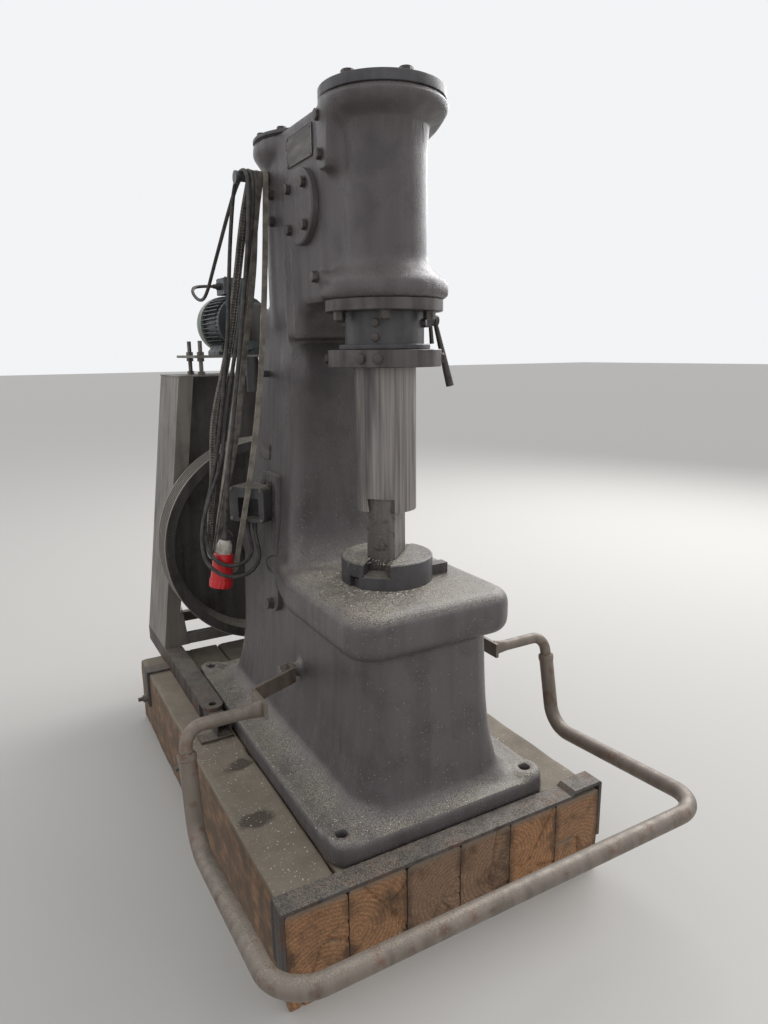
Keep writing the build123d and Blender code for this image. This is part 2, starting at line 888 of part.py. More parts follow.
motor_rear = motor_front + shield_thickness + motor_length
core_radius = motor_radius - fin_depth
foot_plate_half = 95.0
motor_seat = motor_plate_bottom + motor_plate_thickness
with BuildPart() as motor_body:
    with BuildSketch(along_motor(motor_front + shield_thickness)):
        Circle(core_radius)
        with PolarLocations(motor_radius - (fin_depth + fin_root) / 2, fin_count):
            Rectangle(fin_depth + fin_root, fin_thickness)
    extrude(amount=-motor_length)
    with BuildSketch(along_motor(motor_front + shield_thickness + 20)):
        with BuildLine():
            Polyline(
                (-foot_plate_half, motor_seat - motor_axis),
                (foot_plate_half, motor_seat - motor_axis),
                (foot_plate_half, motor_seat - motor_axis + 14),
                (60, motor_seat - motor_axis + 60),
                (-60, motor_seat - motor_axis + 60),
                (-foot_plate_half, motor_seat - motor_axis + 14),
                close=True,
            )
        make_face()
    extrude(amount=-(motor_length - 40))
save(motor_body, "motor_body")

with BuildPart() as motor_end_shield:
    with BuildSketch(along_motor(motor_front)):
        Circle(motor_radius - 8)
    extrude(amount=-shield_thickness)
    with BuildSketch(along_motor(motor_front)):
        Circle(40)
    extrude(amount=14)
    with BuildSketch(along_motor(motor_front - 14)):
        Circle(14)
    extrude(amount=-40, mode=Mode.SUBTRACT)
save(motor_end_shield, "motor_end_shield")

with BuildPart() as motor_fan_cowl:
    with BuildSketch(along_motor(motor_rear)):
        Circle(motor_radius + 2)
    extrude(amount=-cowl_length)
    fillet(motor_fan_cowl.faces().sort_by(Axis.Y)[-1].edges(), 22)
save(motor_fan_cowl, "motor_fan_cowl")

terminal_width = 105.0
terminal_length = 110.0
terminal_height = 62.0
with BuildPart() as terminal_box:
    with BuildSketch(Plane.XY.offset(above_bed(motor_axis + motor_radius))):
        with Locations((0, motor_front + shield_thickness + motor_length / 2)):
            RectangleRounded(terminal_width, terminal_length, 10)
    extrude(amount=terminal_height)
save(terminal_box, "terminal_box")

pulley_radius = 70.0
pulley_width = 112.0
pulley_rear = motor_front - 16
with BuildPart() as motor_pulley:
    with BuildSketch(along_motor(pulley_rear - pulley_width)):
        Circle(pulley_radius)
    extrude(amount=-pulley_width)
    with BuildSketch(along_motor(pulley_rear)):
        Circle(14)
    extrude(amount=-36)
save(motor_pulley, "motor_pulley")

# Flat bar down the left side of the column, and the box with a window that it carries
strap_width = 112.0
strap_bottom = 424.0
strap_top = 850.0
strap_bottom_y = 371.0
strap_top_y = 430.0
strap_stand_off = 19.0
strap_round = 42.0
strap_foot_out = side_half_width(strap_bottom) + strap_stand_off
strap_head_out = side_half_width(strap_top) + strap_stand_off
with BuildPart() as column_strap:
    with BuildSketch(Plane.YZ.offset(-strap_foot_out)):
        with BuildLine():
            FilletPolyline(
                (strap_bottom_y - strap_width / 2, above_bed(strap_bottom)),
                (strap_bottom_y + strap_width / 2, above_bed(strap_bottom)),
                (strap_top_y + strap_width / 2, above_bed(strap_top)),
                (strap_top_y - strap_width / 2, above_bed(strap_top)),
                radius=(strap_round, strap_round, 12, 12),
                close=True,
            )
        make_face()
    extrude(amount=strap_foot_out - housing_half_width)
    with BuildSketch(Plane.XZ.offset(-strap_bottom_y + strap_width)):
        with BuildLine():
            Polyline(
                (-strap_foot_out, above_bed(strap_bottom)),
                (-strap_head_out, above_bed(strap_top)),
                (-strap_foot_out - 10, above_bed(strap_top)),
                (-strap_foot_out - 10, above_bed(strap_bottom)),
                close=True,
            )
        make_face()
    extrude(amount=-3 * strap_width, mode=Mode.SUBTRACT)
column_strap.part = column_strap.part - hammer_frame.part
save(column_strap, "column_strap")

box_width = 130.0
box_bottom = 703.0
box_top = 815.0
box_depth = 84.0
box_turn = 35.0
box_corner = 18.0
box_x = -259.0
box_y = 423.5
window_width = 76.0
window_height = 68.0
window_depth = 46.0
outward = Vector(-math.cos(math.radians(box_turn)), -math.sin(math.radians(box_turn)), 0)
box_face = Plane(
    origin=(box_x, box_y, above_bed((box_bottom + box_top) / 2)),
    x_dir=(math.sin(math.radians(box_turn)), -math.cos(math.radians(box_turn)), 0),
    z_dir=outward,
)
with BuildPart() as side_box:
    with BuildSketch(box_face):
        RectangleRounded(box_width, box_top - box_bottom, box_corner)
    extrude(amount=-box_depth)
    fillet(side_box.faces().sort_by(Axis.Y)[0].edges(), 5)
    with BuildSketch(box_face):
        with Locations((8, -12)):
            RectangleRounded(window_width, window_height, 6)
    extrude(amount=-window_depth, mode=Mode.SUBTRACT)
side_box.part = side_box.part - hammer_frame.part - column_strap.part
save(side_box, "side_box")

cup_radius = 20.0
cup_height = 106.0
cup_bottom = 1100.0
cup_x = -190.0
cup_y = 500.0
pipe_radius = 10.0
with BuildPart() as oil_cup:
    with BuildSketch(Plane.XY.offset(above_bed(cup_bottom))):
        with Locations((cup_x, cup_y)):
            Circle(cup_radius)
    extrude(amount=cup_height)
    with BuildSketch(Plane.YZ.offset(cup_x)):
        with Locations((cup_y, above_bed(cup_bottom + cup_height / 2))):
            Circle(pipe_radius)
    extrude(amount=cup_radius + strap_width)
oil_cup.part = oil_cup.part - hammer_frame.part
save(oil_cup, "oil_cup")

# Hook high on the left side, from which the belts and the cable hang
hook_height = barrel_bottom + 361
hook_radius = 11.0
hook_length = 92.0
with BuildPart() as belt_hook:
    with BuildSketch(Plane.YZ.offset(-compressor_radius + 2)):
        with Locations((compressor_y, above_bed(hook_height))):
            Circle(hook_radius)
    extrude(amount=-hook_length)
    with BuildSketch(Plane.YZ.offset(-compressor_radius + 2 - hook_length)):
        with Locations((compressor_y, above_bed(hook_height))):
            Circle(hook_radius + 7)
    extrude(amount=-8)
belt_hook.part = belt_hook.part - hammer_frame.part
save(belt_hook, "belt_hook")

# What hangs from the hook lies in planes that lean outwards
belt_lean = 7.2
belt_pitch = 17.5
belt_start = -compressor_radius - 12.5


def hanging_plane(start, lean):
    return Plane(
        origin=(start, compressor_y, above_bed(hook_height)),
        x_dir=(0, 1, 0),
        z_dir=(1, 0, -math.tan(math.radians(lean))),
    )


# Three V-belts, each one fixed loop. Their strands are given from the hook downwards, as
# distances to the rear of the hook and below it, and the first belt passes round the box
belt_width = 17.0
belt_thickness = 12.0
belt_rest = hook_radius + 1.0
belt_strands = (
    (
        ((-68, -290), (-92, -560), (-78, -740), (-46, -920), (4, -1100)),
        ((215, -1090), (160, -860), (100, -560), (62, -260)),
        -1185,
    ),
    (
        ((4, -240), (48, -520), (80, -790), (148, -1000), (176, -1090)),
        ((245, -1040), (222, -900), (236, -790), (232, -690), (150, -500), (110, -300), (82, -110)),
        -1160,
    ),
    (
        ((-76, -240), (-32, -500), (-12, -760), (50, -895), (97, -1070)),
        ((205, -1050), (192, -900), (226, -790), (224, -690), (125, -510), (80, -300), (58, -105)),
        -1150,
    ),
)


def bend_radius(before, corner, after):
    # 0.45 of the shorter run over the tangent of half the turn, so that neighbours never meet
    run_in = Vector(*corner) - Vector(*before)
    run_out = Vector(*after) - Vector(*corner)
    half_turn = math.radians(run_in.get_angle(run_out) / 2)
    return 0.45 * min(run_in.length, run_out.length) / math.tan(half_turn)


def belt(order, front, rear, bottom):
    # Inner outline from the hook down the front strand, round the bottom and up the rear one
    corners = [(belt_rest, belt_rest), (-belt_rest, belt_rest), *front]
    corners += [(front[-1][0] + 14, bottom), (rear[0][0] - 14, bottom), *rear]
    ring_of = [corners[-1], *corners, corners[0]]
    radii = [bend_radius(*ring_of[index : index + 3]) for index in range(len(corners))]
    plane = hanging_plane(belt_start - order * belt_pitch, belt_lean)
    with BuildPart() as loop:
        with BuildSketch(plane):
            with BuildLine():
                FilletPolyline(*corners, radius=radii, close=True)
            make_face()
            offset(amount=belt_thickness)
        extrude(amount=belt_width / 2, both=True)
        with BuildSketch(plane):
            with BuildLine():
                FilletPolyline(*corners, radius=radii, close=True)
            make_face()
        extrude(amount=belt_width, both=True, mode=Mode.SUBTRACT)
    return loop.part


with BuildPart() as drive_belts:
    for order, (front, rear, bottom) in enumerate(belt_strands):
        add(belt(order, front, rear, bottom))
save(drive_belts, "drive_belts")

# Bracket under the right of the gland ring, and the hand lever on its spindle
lever_y = -20.0
lever_height = gland_bottom - 20.0
lever_pin = 8.0
lever_pin_out = 8.0
lever_bracket_x = 112.0
lever_x = 143.0
with BuildPart() as lever_bracket:
    with BuildSketch(Plane.XY.offset(above_bed(gland_bottom))):
        with Locations((lever_bracket_x, lever_y)):
            Rectangle(15, 40)
    extrude(amount=-38)
    with BuildSketch(Plane.YZ.offset(lever_bracket_x - 20)):
        with Locations((lever_y, above_bed(lever_height))):
            Circle(lever_pin + pivot_clearance)
    extrude(amount=40, mode=Mode.SUBTRACT)
save(lever_bracket, "lever_bracket")

lever_length = 172.0
lever_spread = 51.0
short_length = 60.0
short_x = 128.0
with BuildPart() as control_lever:
    with BuildSketch(Plane.YZ.offset(lever_bracket_x - lever_pin_out)):
        with Locations((lever_y, above_bed(lever_height))):
            Circle(lever_pin)
    extrude(amount=lever_x + lever_pin_out - lever_bracket_x + lever_pin_out)
    for arm_x, arm_end, arm_drop, root, tip in (
        (lever_x, lever_x + lever_spread, lever_length, 6, 11),
        (short_x, short_x + 6, short_length, 5, 6),
    ):
        with BuildSketch(Plane.YZ.offset(arm_x - 6)):
            with Locations((lever_y, above_bed(lever_height))):
                Circle(14)
        extrude(amount=12)
        start = Vector(arm_x, lever_y, above_bed(lever_height))
        end = Vector(arm_end, lever_y, above_bed(lever_height - arm_drop))
        with BuildSketch(Plane(start, z_dir=end - start)):
            Circle(root)
        with BuildSketch(Plane(end, z_dir=end - start)):
            Circle(tip)
        loft()
save(control_lever, "control_lever")

# Foot treadle: a tube bent round the front of the machine. Thinner tubes, flattened at
# their ends, are welded on top of it and carry it on two cranked flat links
treadle_tube = 22.25
arm_tube = 17.0
treadle_half = 590.0
treadle_front = -630.0
arm_y = 0.0
arm_low = 2.0
front_low = 52.0
weld_height = 237.0
weld_y = arm_y - 60 * (treadle_height - weld_height) / (treadle_height - arm_low)
link_out = 385.0
flat_length = 46.0
flat_height = 50.0
flat_width = 22.0
sleeve_length = 14.0
with BuildPart() as treadle_hoop:
    half_points = [
        (treadle_half, weld_y, above_bed(weld_height)),
        (treadle_half, arm_y - 60, above_bed(arm_low)),
        (treadle_half, treadle_front, above_bed(front_low)),
    ]
    hoop_points = half_points + [(-x, y, z) for x, y, z in reversed(half_points)]
    with BuildLine() as hoop_path:
        FilletPolyline(*hoop_points, radius=(80, 95, 95, 80))
    with BuildSketch(Plane(hoop_path.line @ 0, z_dir=hoop_path.line % 0)):
        Circle(treadle_tube)
    sweep()
    for side in (-1, 1):
        with BuildLine() as arm_path:
            FilletPolyline(
                (side * (link_out + flat_length), arm_y, above_bed(treadle_height)),
                (side * treadle_half, arm_y, above_bed(treadle_height)),
                (side * treadle_half, weld_y, above_bed(weld_height)),
                radius=50,
            )
        with BuildSketch(Plane(arm_path.line @ 0, z_dir=arm_path.line % 0)):
            Circle(arm_tube)
        sweep()
        with BuildSketch(Plane(arm_path.line @ 1, z_dir=arm_path.line % 1)):
            Circle(treadle_tube + 2)
        extrude(amount=sleeve_length)
        with BuildSketch(Plane.YZ.offset(side * (link_out + flat_length))):
            with Locations((arm_y, above_bed(treadle_height))):
                Ellipse(arm_tube, arm_tube)
        with BuildSketch(Plane.YZ.offset(side * link_out)):
            with Locations((arm_y, above_bed(treadle_height))):
                Ellipse(flat_width / 2, flat_height / 2)
        loft()
save(treadle_hoop, "treadle_hoop")

link_width = 45.0
link_thickness = 10.0
link_eye = 24.0
link_clearance = 4.0
pivot_length = 22.0
with BuildPart() as treadle_pivots:
    for side in (-1, 1):
        with BuildSketch(Plane.YZ.offset(side * pivot_boss_out)):
            with Locations((treadle_y, above_bed(treadle_height))):
                Circle(pivot_radius)
        extrude(amount=side * pivot_length)
save(treadle_pivots, "treadle_pivots")


def treadle_link(side):
    # A flat bar: an eye on the pivot, then out and cranked forward to the tube
    near = side * (pivot_boss_out + link_clearance)
    far = side * (pivot_boss_out + link_clearance + link_thickness)
    with BuildPart() as link:
        with BuildSketch(Plane.YZ.offset(near)):
            with Locations((treadle_y, above_bed(treadle_height))):
                Circle(link_eye)
        extrude(amount=side * link_thickness)
        with BuildSketch(Plane.XY.offset(above_bed(treadle_height) - link_width / 2)):
            with BuildLine():
                Polyline(
                    (near, treadle_y + 12),
                    (near, treadle_y - 38),
                    (side * (link_out - link_thickness), treadle_y - 104),
                    (side * (link_out - link_thickness), arm_y - 24),
                    (side * link_out, arm_y - 24),
                    (side * link_out, treadle_y - 97),
                    (far, treadle_y - 31),
                    (far, treadle_y + 12),
                    close=True,
                )
            make_face()
        extrude(amount=link_width)
        with BuildSketch(Plane.YZ.offset(near)):
            with Locations((treadle_y, above_bed(treadle_height))):
                Circle(pivot_radius + pivot_clearance)
        extrude(amount=side * link_thickness, mode=Mode.SUBTRACT)
    return link.part


with BuildPart() as treadle_links:
    add(treadle_link(-1))
    add(treadle_link(1))
save(treadle_links, "treadle_links")

# Straps that lap from the rails over the outer edges of the bed
clip_width = 62.0
clip_thickness = 8.0
clip_drop = 136.0
rail_outer = rail_inner + rail_width
with BuildPart() as rail_clips:
    for edge_x, side in ((bed_left, -1), (bed_right, 1)):
        with BuildSketch(Plane.XZ.offset(-tie_rear + clip_width / 2)):
            with BuildLine():
                Polyline(
                    (side * rail_outer, bed_top),
                    (edge_x, bed_top),
                    (edge_x, bed_top - clip_drop),
                    (edge_x + side * clip_thickness, bed_top - clip_drop),
                    (edge_x + side * clip_thickness, bed_top + clip_thickness),
                    (side * rail_outer, bed_top + clip_thickness),
                    close=True,
                )
            make_face()
        extrude(amount=-clip_width)
    with BuildSketch(Plane.YZ):
        with Locations((tie_rear, tie_height)):
            Circle(tie_radius)
    extrude(amount=bed_right - bed_left, both=True, mode=Mode.SUBTRACT)
save(rail_clips, "rail_clips")

# Threaded rods that tie the timbers together, with washers and nuts outside
tie_end = 34.0
washer_radius = 22.0
washer_thickness = 4.0
with BuildPart() as timber_tie_rods:
    for tie_y, seat in ((tie_front, 0), (tie_rear, clip_thickness)):
        for face_x, side in ((bed_left - seat, -1), (bed_right + seat, 1)):
            with BuildSketch(Plane.YZ):
                with Locations((tie_y, tie_height)):
                    Circle(tie_radius)
            extrude(amount=face_x + side * tie_end)
            with BuildSketch(Plane.YZ.offset(face_x)):
                with Locations((tie_y, tie_height)):
                    Circle(washer_radius)
            extrude(amount=side * washer_thickness)
            with BuildSketch(Plane.YZ.offset(face_x + side * washer_thickness)):
                with Locations((tie_y, tie_height)):
                    RegularPolygon(nut_width / 2, 6, major_radius=False)
            extrude(amount=side * nut_height)
save(timber_tie_rods, "timber_tie_rods")

# Lead from the motor over the hook and down to the box, and cable from the box up, over
# the hook and down again to the plug
cable_radius = 6.0
cable_lean = 8.0
lead_start = belt_start - 3 * belt_pitch
supply_start = lead_start - 14
arch_half = 62.0
arch_rise = hook_radius + cable_radius + 1.0
gland_y = motor_front + shield_thickness + motor_length / 2
cable_gland_height = motor_axis + motor_radius + terminal_height / 2
with BuildPart() as cable_gland:
    with BuildSketch(Plane.YZ.offset(-terminal_width / 2)):
        with Locations((gland_y, above_bed(cable_gland_height))):
            RegularPolygon(13, 6, major_radius=False)
    extrude(amount=-14)
    with BuildSketch(Plane.YZ.offset(-terminal_width / 2 - 14)):
        with Locations((gland_y, above_bed(cable_gland_height))):
            Circle(10)
    extrude(amount=-14, taper=8)
save(cable_gland, "cable_gland")


def from_hook(start, points):
    # Points to the rear of the hook and above it; lower points lie further out
    slope = math.tan(math.radians(cable_lean))
    return [
        (start + slope * rise, compressor_y + rear, above_bed(hook_height + rise))
        for rear, rise in points
    ]


def from_bed(points):
    return [(x, y, above_bed(height)) for x, y, height in points]


def cable(name, points):
    radii = [bend_radius(*points[index : index + 3]) for index in range(len(points) - 2)]
    print(name, "radii", [round(radius) for radius in radii])
    with BuildPart() as tube:
        with BuildLine():
            route = FilletPolyline(*points, radius=radii)
        with BuildSketch(Plane(route @ 0, z_dir=route % 0)):
            Circle(cable_radius)
        sweep()
    expected = math.pi * cable_radius ** 2 * route.length
    print(name, "length", round(route.length), "volume", round(tube.part.volume), round(expected))
    save(tube, name)


gland_end = -terminal_width / 2 - 28
lead_route = [
    (gland_end, gland_y, above_bed(cable_gland_height)),
    (gland_end - 70, gland_y, above_bed(cable_gland_height)),
    (gland_end - 104, gland_y - 66, above_bed(cable_gland_height - 26)),
    (gland_end - 108, gland_y - 150, above_bed(cable_gland_height - 62)),
    (gland_end - 112, gland_y - 245, above_bed(cable_gland_height - 72)),
    (gland_end - 120, gland_y - 340, above_bed(cable_gland_height - 44)),
    (gland_end - 126, gland_y - 430, above_bed(cable_gland_height + 10)),
    (gland_end - 124, gland_y - 520, above_bed(cable_gland_height + 84)),
    (gland_end - 120, gland_y - 610, above_bed(cable_gland_height + 165)),
]
lead_route += from_hook(
    lead_start,
    (
        (arch_half, arch_rise),
        (-arch_half, arch_rise),
        (-94, -130),
        (-74, -290),
        (-44, -435),
        (-8, -570),
        (12, -700),
        (15, -810),
    ),
)
lead_route += from_bed(
    (
        (-352, 467, 800),
        (-384, 457, 728),
        (-402, 436, 657),
        (-402, 390, 594),
        (-350, 359, 555),
        (-279, 359, 555),
        (-229, 390, 594),
        (-229, 438, 650),
        (-229, 438, box_bottom),
    )
)
cable("motor_lead", lead_route)

supply_route = from_bed(
    (
        (-248, 450, box_bottom),
        (-248, 450, 661),
        (-249, 405, 612),
        (-289, 379, 585),
        (-347, 379, 585),
        (-386, 403, 617),
        (-384, 458, 682),
        (-370, 484, 742),
        (-350, 489, 800),
    )
)
supply_route += from_hook(
    supply_start,
    (
        (28, -800),
        (14, -690),
        (6, -570),
        (12, -430),
        (38, -290),
        (60, -150),
        (arch_half, arch_rise),
        (-arch_half, arch_rise),
        (-105, -140),
        (-112, -290),
        (-112, -440),
        (-108, -590),
        (-101, -740),
        (-96, -860),
    ),
)
supply_route += from_bed(
    (
        (-337, 362, 780),
        (-321, 430, 716),
        (-330, 430, 656),
    )
)
cable("supply_cable", supply_route)

# Plug, which hangs a little out of plumb behind the loops of the two cables
plug_cap_radius = 24.0
plug_radius = 33.0
plug_collar_radius = 36.0
plug_cap_length = 44.0
plug_length = 148.0
plug_top = supply_route[-1]
plug_axis = (Vector(*plug_top) - Vector(*supply_route[-2])).normalized()
with BuildPart() as supply_plug:
    with BuildSketch(Plane(origin=plug_top, x_dir=(0, 1, 0), z_dir=plug_axis)):
        Circle(plug_cap_radius)
    extrude(amount=plug_cap_length)
    body_start = Vector(*plug_top) + plug_axis * plug_cap_length
    with BuildSketch(Plane(origin=body_start, x_dir=(0, 1, 0), z_dir=plug_axis)):
        Circle(plug_radius)
    extrude(amount=plug_length - plug_cap_length)
    collar_start = Vector(*plug_top) + plug_axis * (plug_length - 26)
    with BuildSketch(Plane(origin=collar_start, x_dir=(0, 1, 0), z_dir=plug_axis)):
        Circle(plug_collar_radius)
    extrude(amount=26)
save(supply_plug, "supply_plug")
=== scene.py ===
import math
from functools import partial

import bmesh
import bpy
import numpy as np
from mathutils import Matrix, Vector


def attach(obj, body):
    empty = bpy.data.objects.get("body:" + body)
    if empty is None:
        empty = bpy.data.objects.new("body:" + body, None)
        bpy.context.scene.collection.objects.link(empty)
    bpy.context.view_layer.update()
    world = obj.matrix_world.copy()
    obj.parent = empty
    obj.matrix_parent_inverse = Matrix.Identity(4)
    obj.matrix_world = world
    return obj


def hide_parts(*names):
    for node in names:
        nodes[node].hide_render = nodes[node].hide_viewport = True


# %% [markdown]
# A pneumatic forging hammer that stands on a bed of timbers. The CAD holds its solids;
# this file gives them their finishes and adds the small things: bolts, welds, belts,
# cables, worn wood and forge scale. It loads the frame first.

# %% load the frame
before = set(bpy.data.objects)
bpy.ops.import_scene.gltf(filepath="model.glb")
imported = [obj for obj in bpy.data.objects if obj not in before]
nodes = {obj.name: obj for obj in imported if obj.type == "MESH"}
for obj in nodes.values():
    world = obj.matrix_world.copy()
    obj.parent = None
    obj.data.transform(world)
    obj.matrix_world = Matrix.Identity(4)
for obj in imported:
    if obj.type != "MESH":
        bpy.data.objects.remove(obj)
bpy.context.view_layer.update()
scene = bpy.context.scene
bed = 0.256  # the top of the timbers, in metres above the floor
wheel_axis, motor_axis = 489, 1332  # in mm above the bed

# %% [markdown]
# The camera stands where the photograph was taken: at eye height, front left of the
# dies. Its place, turn and lens were worked out from the vanishing lines of the timbers
# and the circles of the cylinder, the ram and the treadle tube.

# %% camera
def put(name, data):
    """A new object in the scene."""
    made = bpy.data.objects.new(name, data)
    scene.collection.objects.link(made)
    return made


image_height, lens_in_pixels = 1024, 715.77
eye = (-0.9440, -1.6731, 1.4738)
yaw, pitch, roll = -0.5103, 0.2209, -0.0112
camera_data = bpy.data.cameras.new("camera")
camera_data.sensor_fit = "AUTO"
camera_data.sensor_width = 36.0
camera_data.lens = lens_in_pixels / image_height * camera_data.sensor_width
camera = put("camera", camera_data)
forward = Vector((-math.sin(yaw) * math.cos(pitch), math.cos(yaw) * math.cos(pitch), -math.sin(pitch)))
sideways = forward.cross(Vector((0, 0, 1))).normalized()
upward = sideways.cross(forward)
right = math.cos(roll) * sideways + math.sin(roll) * upward
camera_turn = Matrix((right, right.cross(forward), -forward)).transposed()
camera.matrix_world = Matrix.Translation(eye) @ camera_turn.to_4x4()
scene.camera = camera
print("camera lens:", round(camera_data.lens, 2), "mm")

# %% [markdown]
# Two cables hang beside the belts. A cable is a fixed length of something flexible, so
# each is one NURBS curve whose control points are the route that the CAD tube follows.
# The motor lead leaves the terminal box, sags to the hook, drops and ends in the box on
# the column. The supply cable leaves that box, goes up over the hook and down again to
# its plug. Points near the hook are given in the plane that leans out from it.

# %% two helpers that place points
hook_x, hook_y, hook_z = -146.5, 450, 1707  # in mm, above the bed
hook_slope = math.tan(math.radians(8.0))


def mm(points):
    """Points in mm, with heights above the top of the timbers, as metres above the floor."""
    return np.asarray(points, float) / 1000 + (0, 0, bed)


def from_hook(start, points):
    """Points to the rear of the hook and above it, in mm; a lower point lies further out by the slope."""
    return [(start + hook_slope * rise, hook_y + rear, hook_z + rise) for rear, rise in points]


# %% motor lead and supply cable
def nurbs_curve(name, points, resolution, radius=1.0):
    """A curve with one NURBS spline of order 3 through its control points in metres, and that spline."""
    curve = bpy.data.curves.new(name, "CURVE")
    curve.dimensions = "3D"
    curve.resolution_u = resolution
    spline = curve.splines.new("NURBS")
    spline.points.add(len(points) - 1)
    for point, place in zip(spline.points, points):
        point.co = (*place, 1)
        point.radius = radius
    spline.order_u = 3
    return curve, spline


def free_cable(name, points, node):
    """An open curve with a round section of 12 mm. The points have the radius, and the bevel is 1,
    because Blender adds the radius of a point, 1 m by default, to the curve's box."""
    curve, spline = nurbs_curve(name, points, 16, radius=0.006)
    spline.use_endpoint_u = True
    curve.bevel_depth = 1.0
    curve.bevel_resolution = 6
    curve.use_fill_caps = True
    cable = put(name, curve)
    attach(cable, "root")
    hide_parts(node)
    return cable


lead_route = [
    (-80.5, 1233, 1475), (-150.5, 1233, 1475), (-184.5, 1167, 1449), (-188.5, 1083, 1413),
    (-192.5, 988, 1403), (-200.5, 893, 1431), (-206.5, 803, 1485), (-204.5, 713, 1559),
    (-200.5, 623, 1640),
    *from_hook(-199, [(62, 18), (-62, 18), (-94, -130), (-74, -290), (-44, -435), (-8, -570)]),
    *from_hook(-199, [(12, -700), (15, -810)]),
    (-352, 467, 800), (-384, 457, 728), (-402, 436, 657), (-402, 390, 594), (-350, 359, 555),
    (-279, 359, 555), (-229, 390, 594), (-229, 438, 650), (-229, 438, 703),
]
supply_route = [
    (-248, 450, 703), (-248, 450, 661), (-249, 405, 612), (-289, 379, 585), (-347, 379, 585),
    (-386, 403, 617), (-384, 458, 682), (-370, 484, 742), (-350, 489, 800),
    *from_hook(-213, [(28, -800), (14, -690), (6, -570), (12, -430), (38, -290), (60, -150), (62, 18)]),
    *from_hook(-213, [(-62, 18), (-105, -140), (-112, -290), (-112, -440), (-108, -590)]),
    *from_hook(-213, [(-101, -740), (-96, -860)]),
    (-337, 362, 780), (-321, 430, 716), (-330, 430, 656),
]
lead_points, supply_points = mm(lead_route).tolist(), mm(supply_route).tolist()
motor_lead = free_cable("motor_lead_cable", lead_points, "motor_lead")
supply_cable = free_cable("supply_cable_line", supply_points, "supply_cable")
print("route points:", len(lead_points), len(supply_points))

# %% [markdown]
# Every finish is built from nodes. One function adds a node, sets its own properties and
# links or fills its inputs; another turns the sRGB hex values in which colours are
# written into Blender's linear ones. Patterns read object coordinates, which here are
# metres in the frame, so a scale of 1 / 0.004 is a grain of 4 mm. Inputs go by name or by
# place: Map Range has its value, what it maps from and what it maps to; Math has its two
# or three numbers; a Mix of colours has its factor at input 0 and the colours at 6 and 7.

# %% helpers for finishes
def linear(hex_colour):
    """sRGB hex to linear RGBA, by the sRGB curve."""
    values = [int(hex_colour[i : i + 2], 16) / 255 for i in (1, 3, 5)]
    return (*[v / 12.92 if v <= 0.04045 else ((v + 0.055) / 1.055) ** 2.4 for v in values], 1.0)


def feed(tree, value, socket):
    """Fills an input. A socket or a node is linked to it, a node by its first output in use, and a
    colour is made linear."""
    if isinstance(value, str):
        value = linear(value)
    if isinstance(value, bpy.types.Node):
        value = next(output for output in value.outputs if output.enabled)
    if isinstance(value, bpy.types.NodeSocket):
        tree.links.new(value, socket)
    else:
        socket.default_value = value


def add(tree, kind, inputs=(), **settings):
    """Adds a node: its settings first, then its inputs, in their order or by name or number."""
    made = tree.nodes.new("ShaderNode" + kind)
    for name, value in settings.items():
        setattr(made, name, value)
    for name, value in inputs.items() if isinstance(inputs, dict) else enumerate(inputs):
        feed(tree, value, made.inputs[name])
    return made


def new_finish(name, metallic=0.0, roughness=0.5):
    """A material, the function that adds nodes to it, and its object coordinates."""
    material = bpy.data.materials.new(name)
    material.use_nodes = True
    tree = material.node_tree
    tree.nodes["Principled BSDF"].inputs["Metallic"].default_value = metallic
    tree.nodes["Principled BSDF"].inputs["Roughness"].default_value = roughness
    return material, partial(add, tree), tree.nodes.new("ShaderNodeTexCoord").outputs["Object"]


def dress(material, **sources):
    """Feeds the inputs of a material's shader; an underscore in a word stands for a space."""
    tree = material.node_tree
    for name, source in sources.items():
        feed(tree, source, tree.nodes["Principled BSDF"].inputs[name.replace("_", " ")])
    return material

# %% [markdown]
# Most of the hammer is cast iron under a dark graphite enamel that has soaked up oil and
# dust for years. Up close it has the coarse skin of a sand casting, with fine pale specks
# of scale caught in it. Surfaces that face up are covered by pale dust, and oil makes the
# upright ones shine unevenly. The same recipe serves rusty sheet and dull steel with
# other numbers: a grain, a stain, streaks down the sides, specks and dust on top. The
# grain of ground steel is finer than a pixel, so it is drawn as coarse as 2 mm.

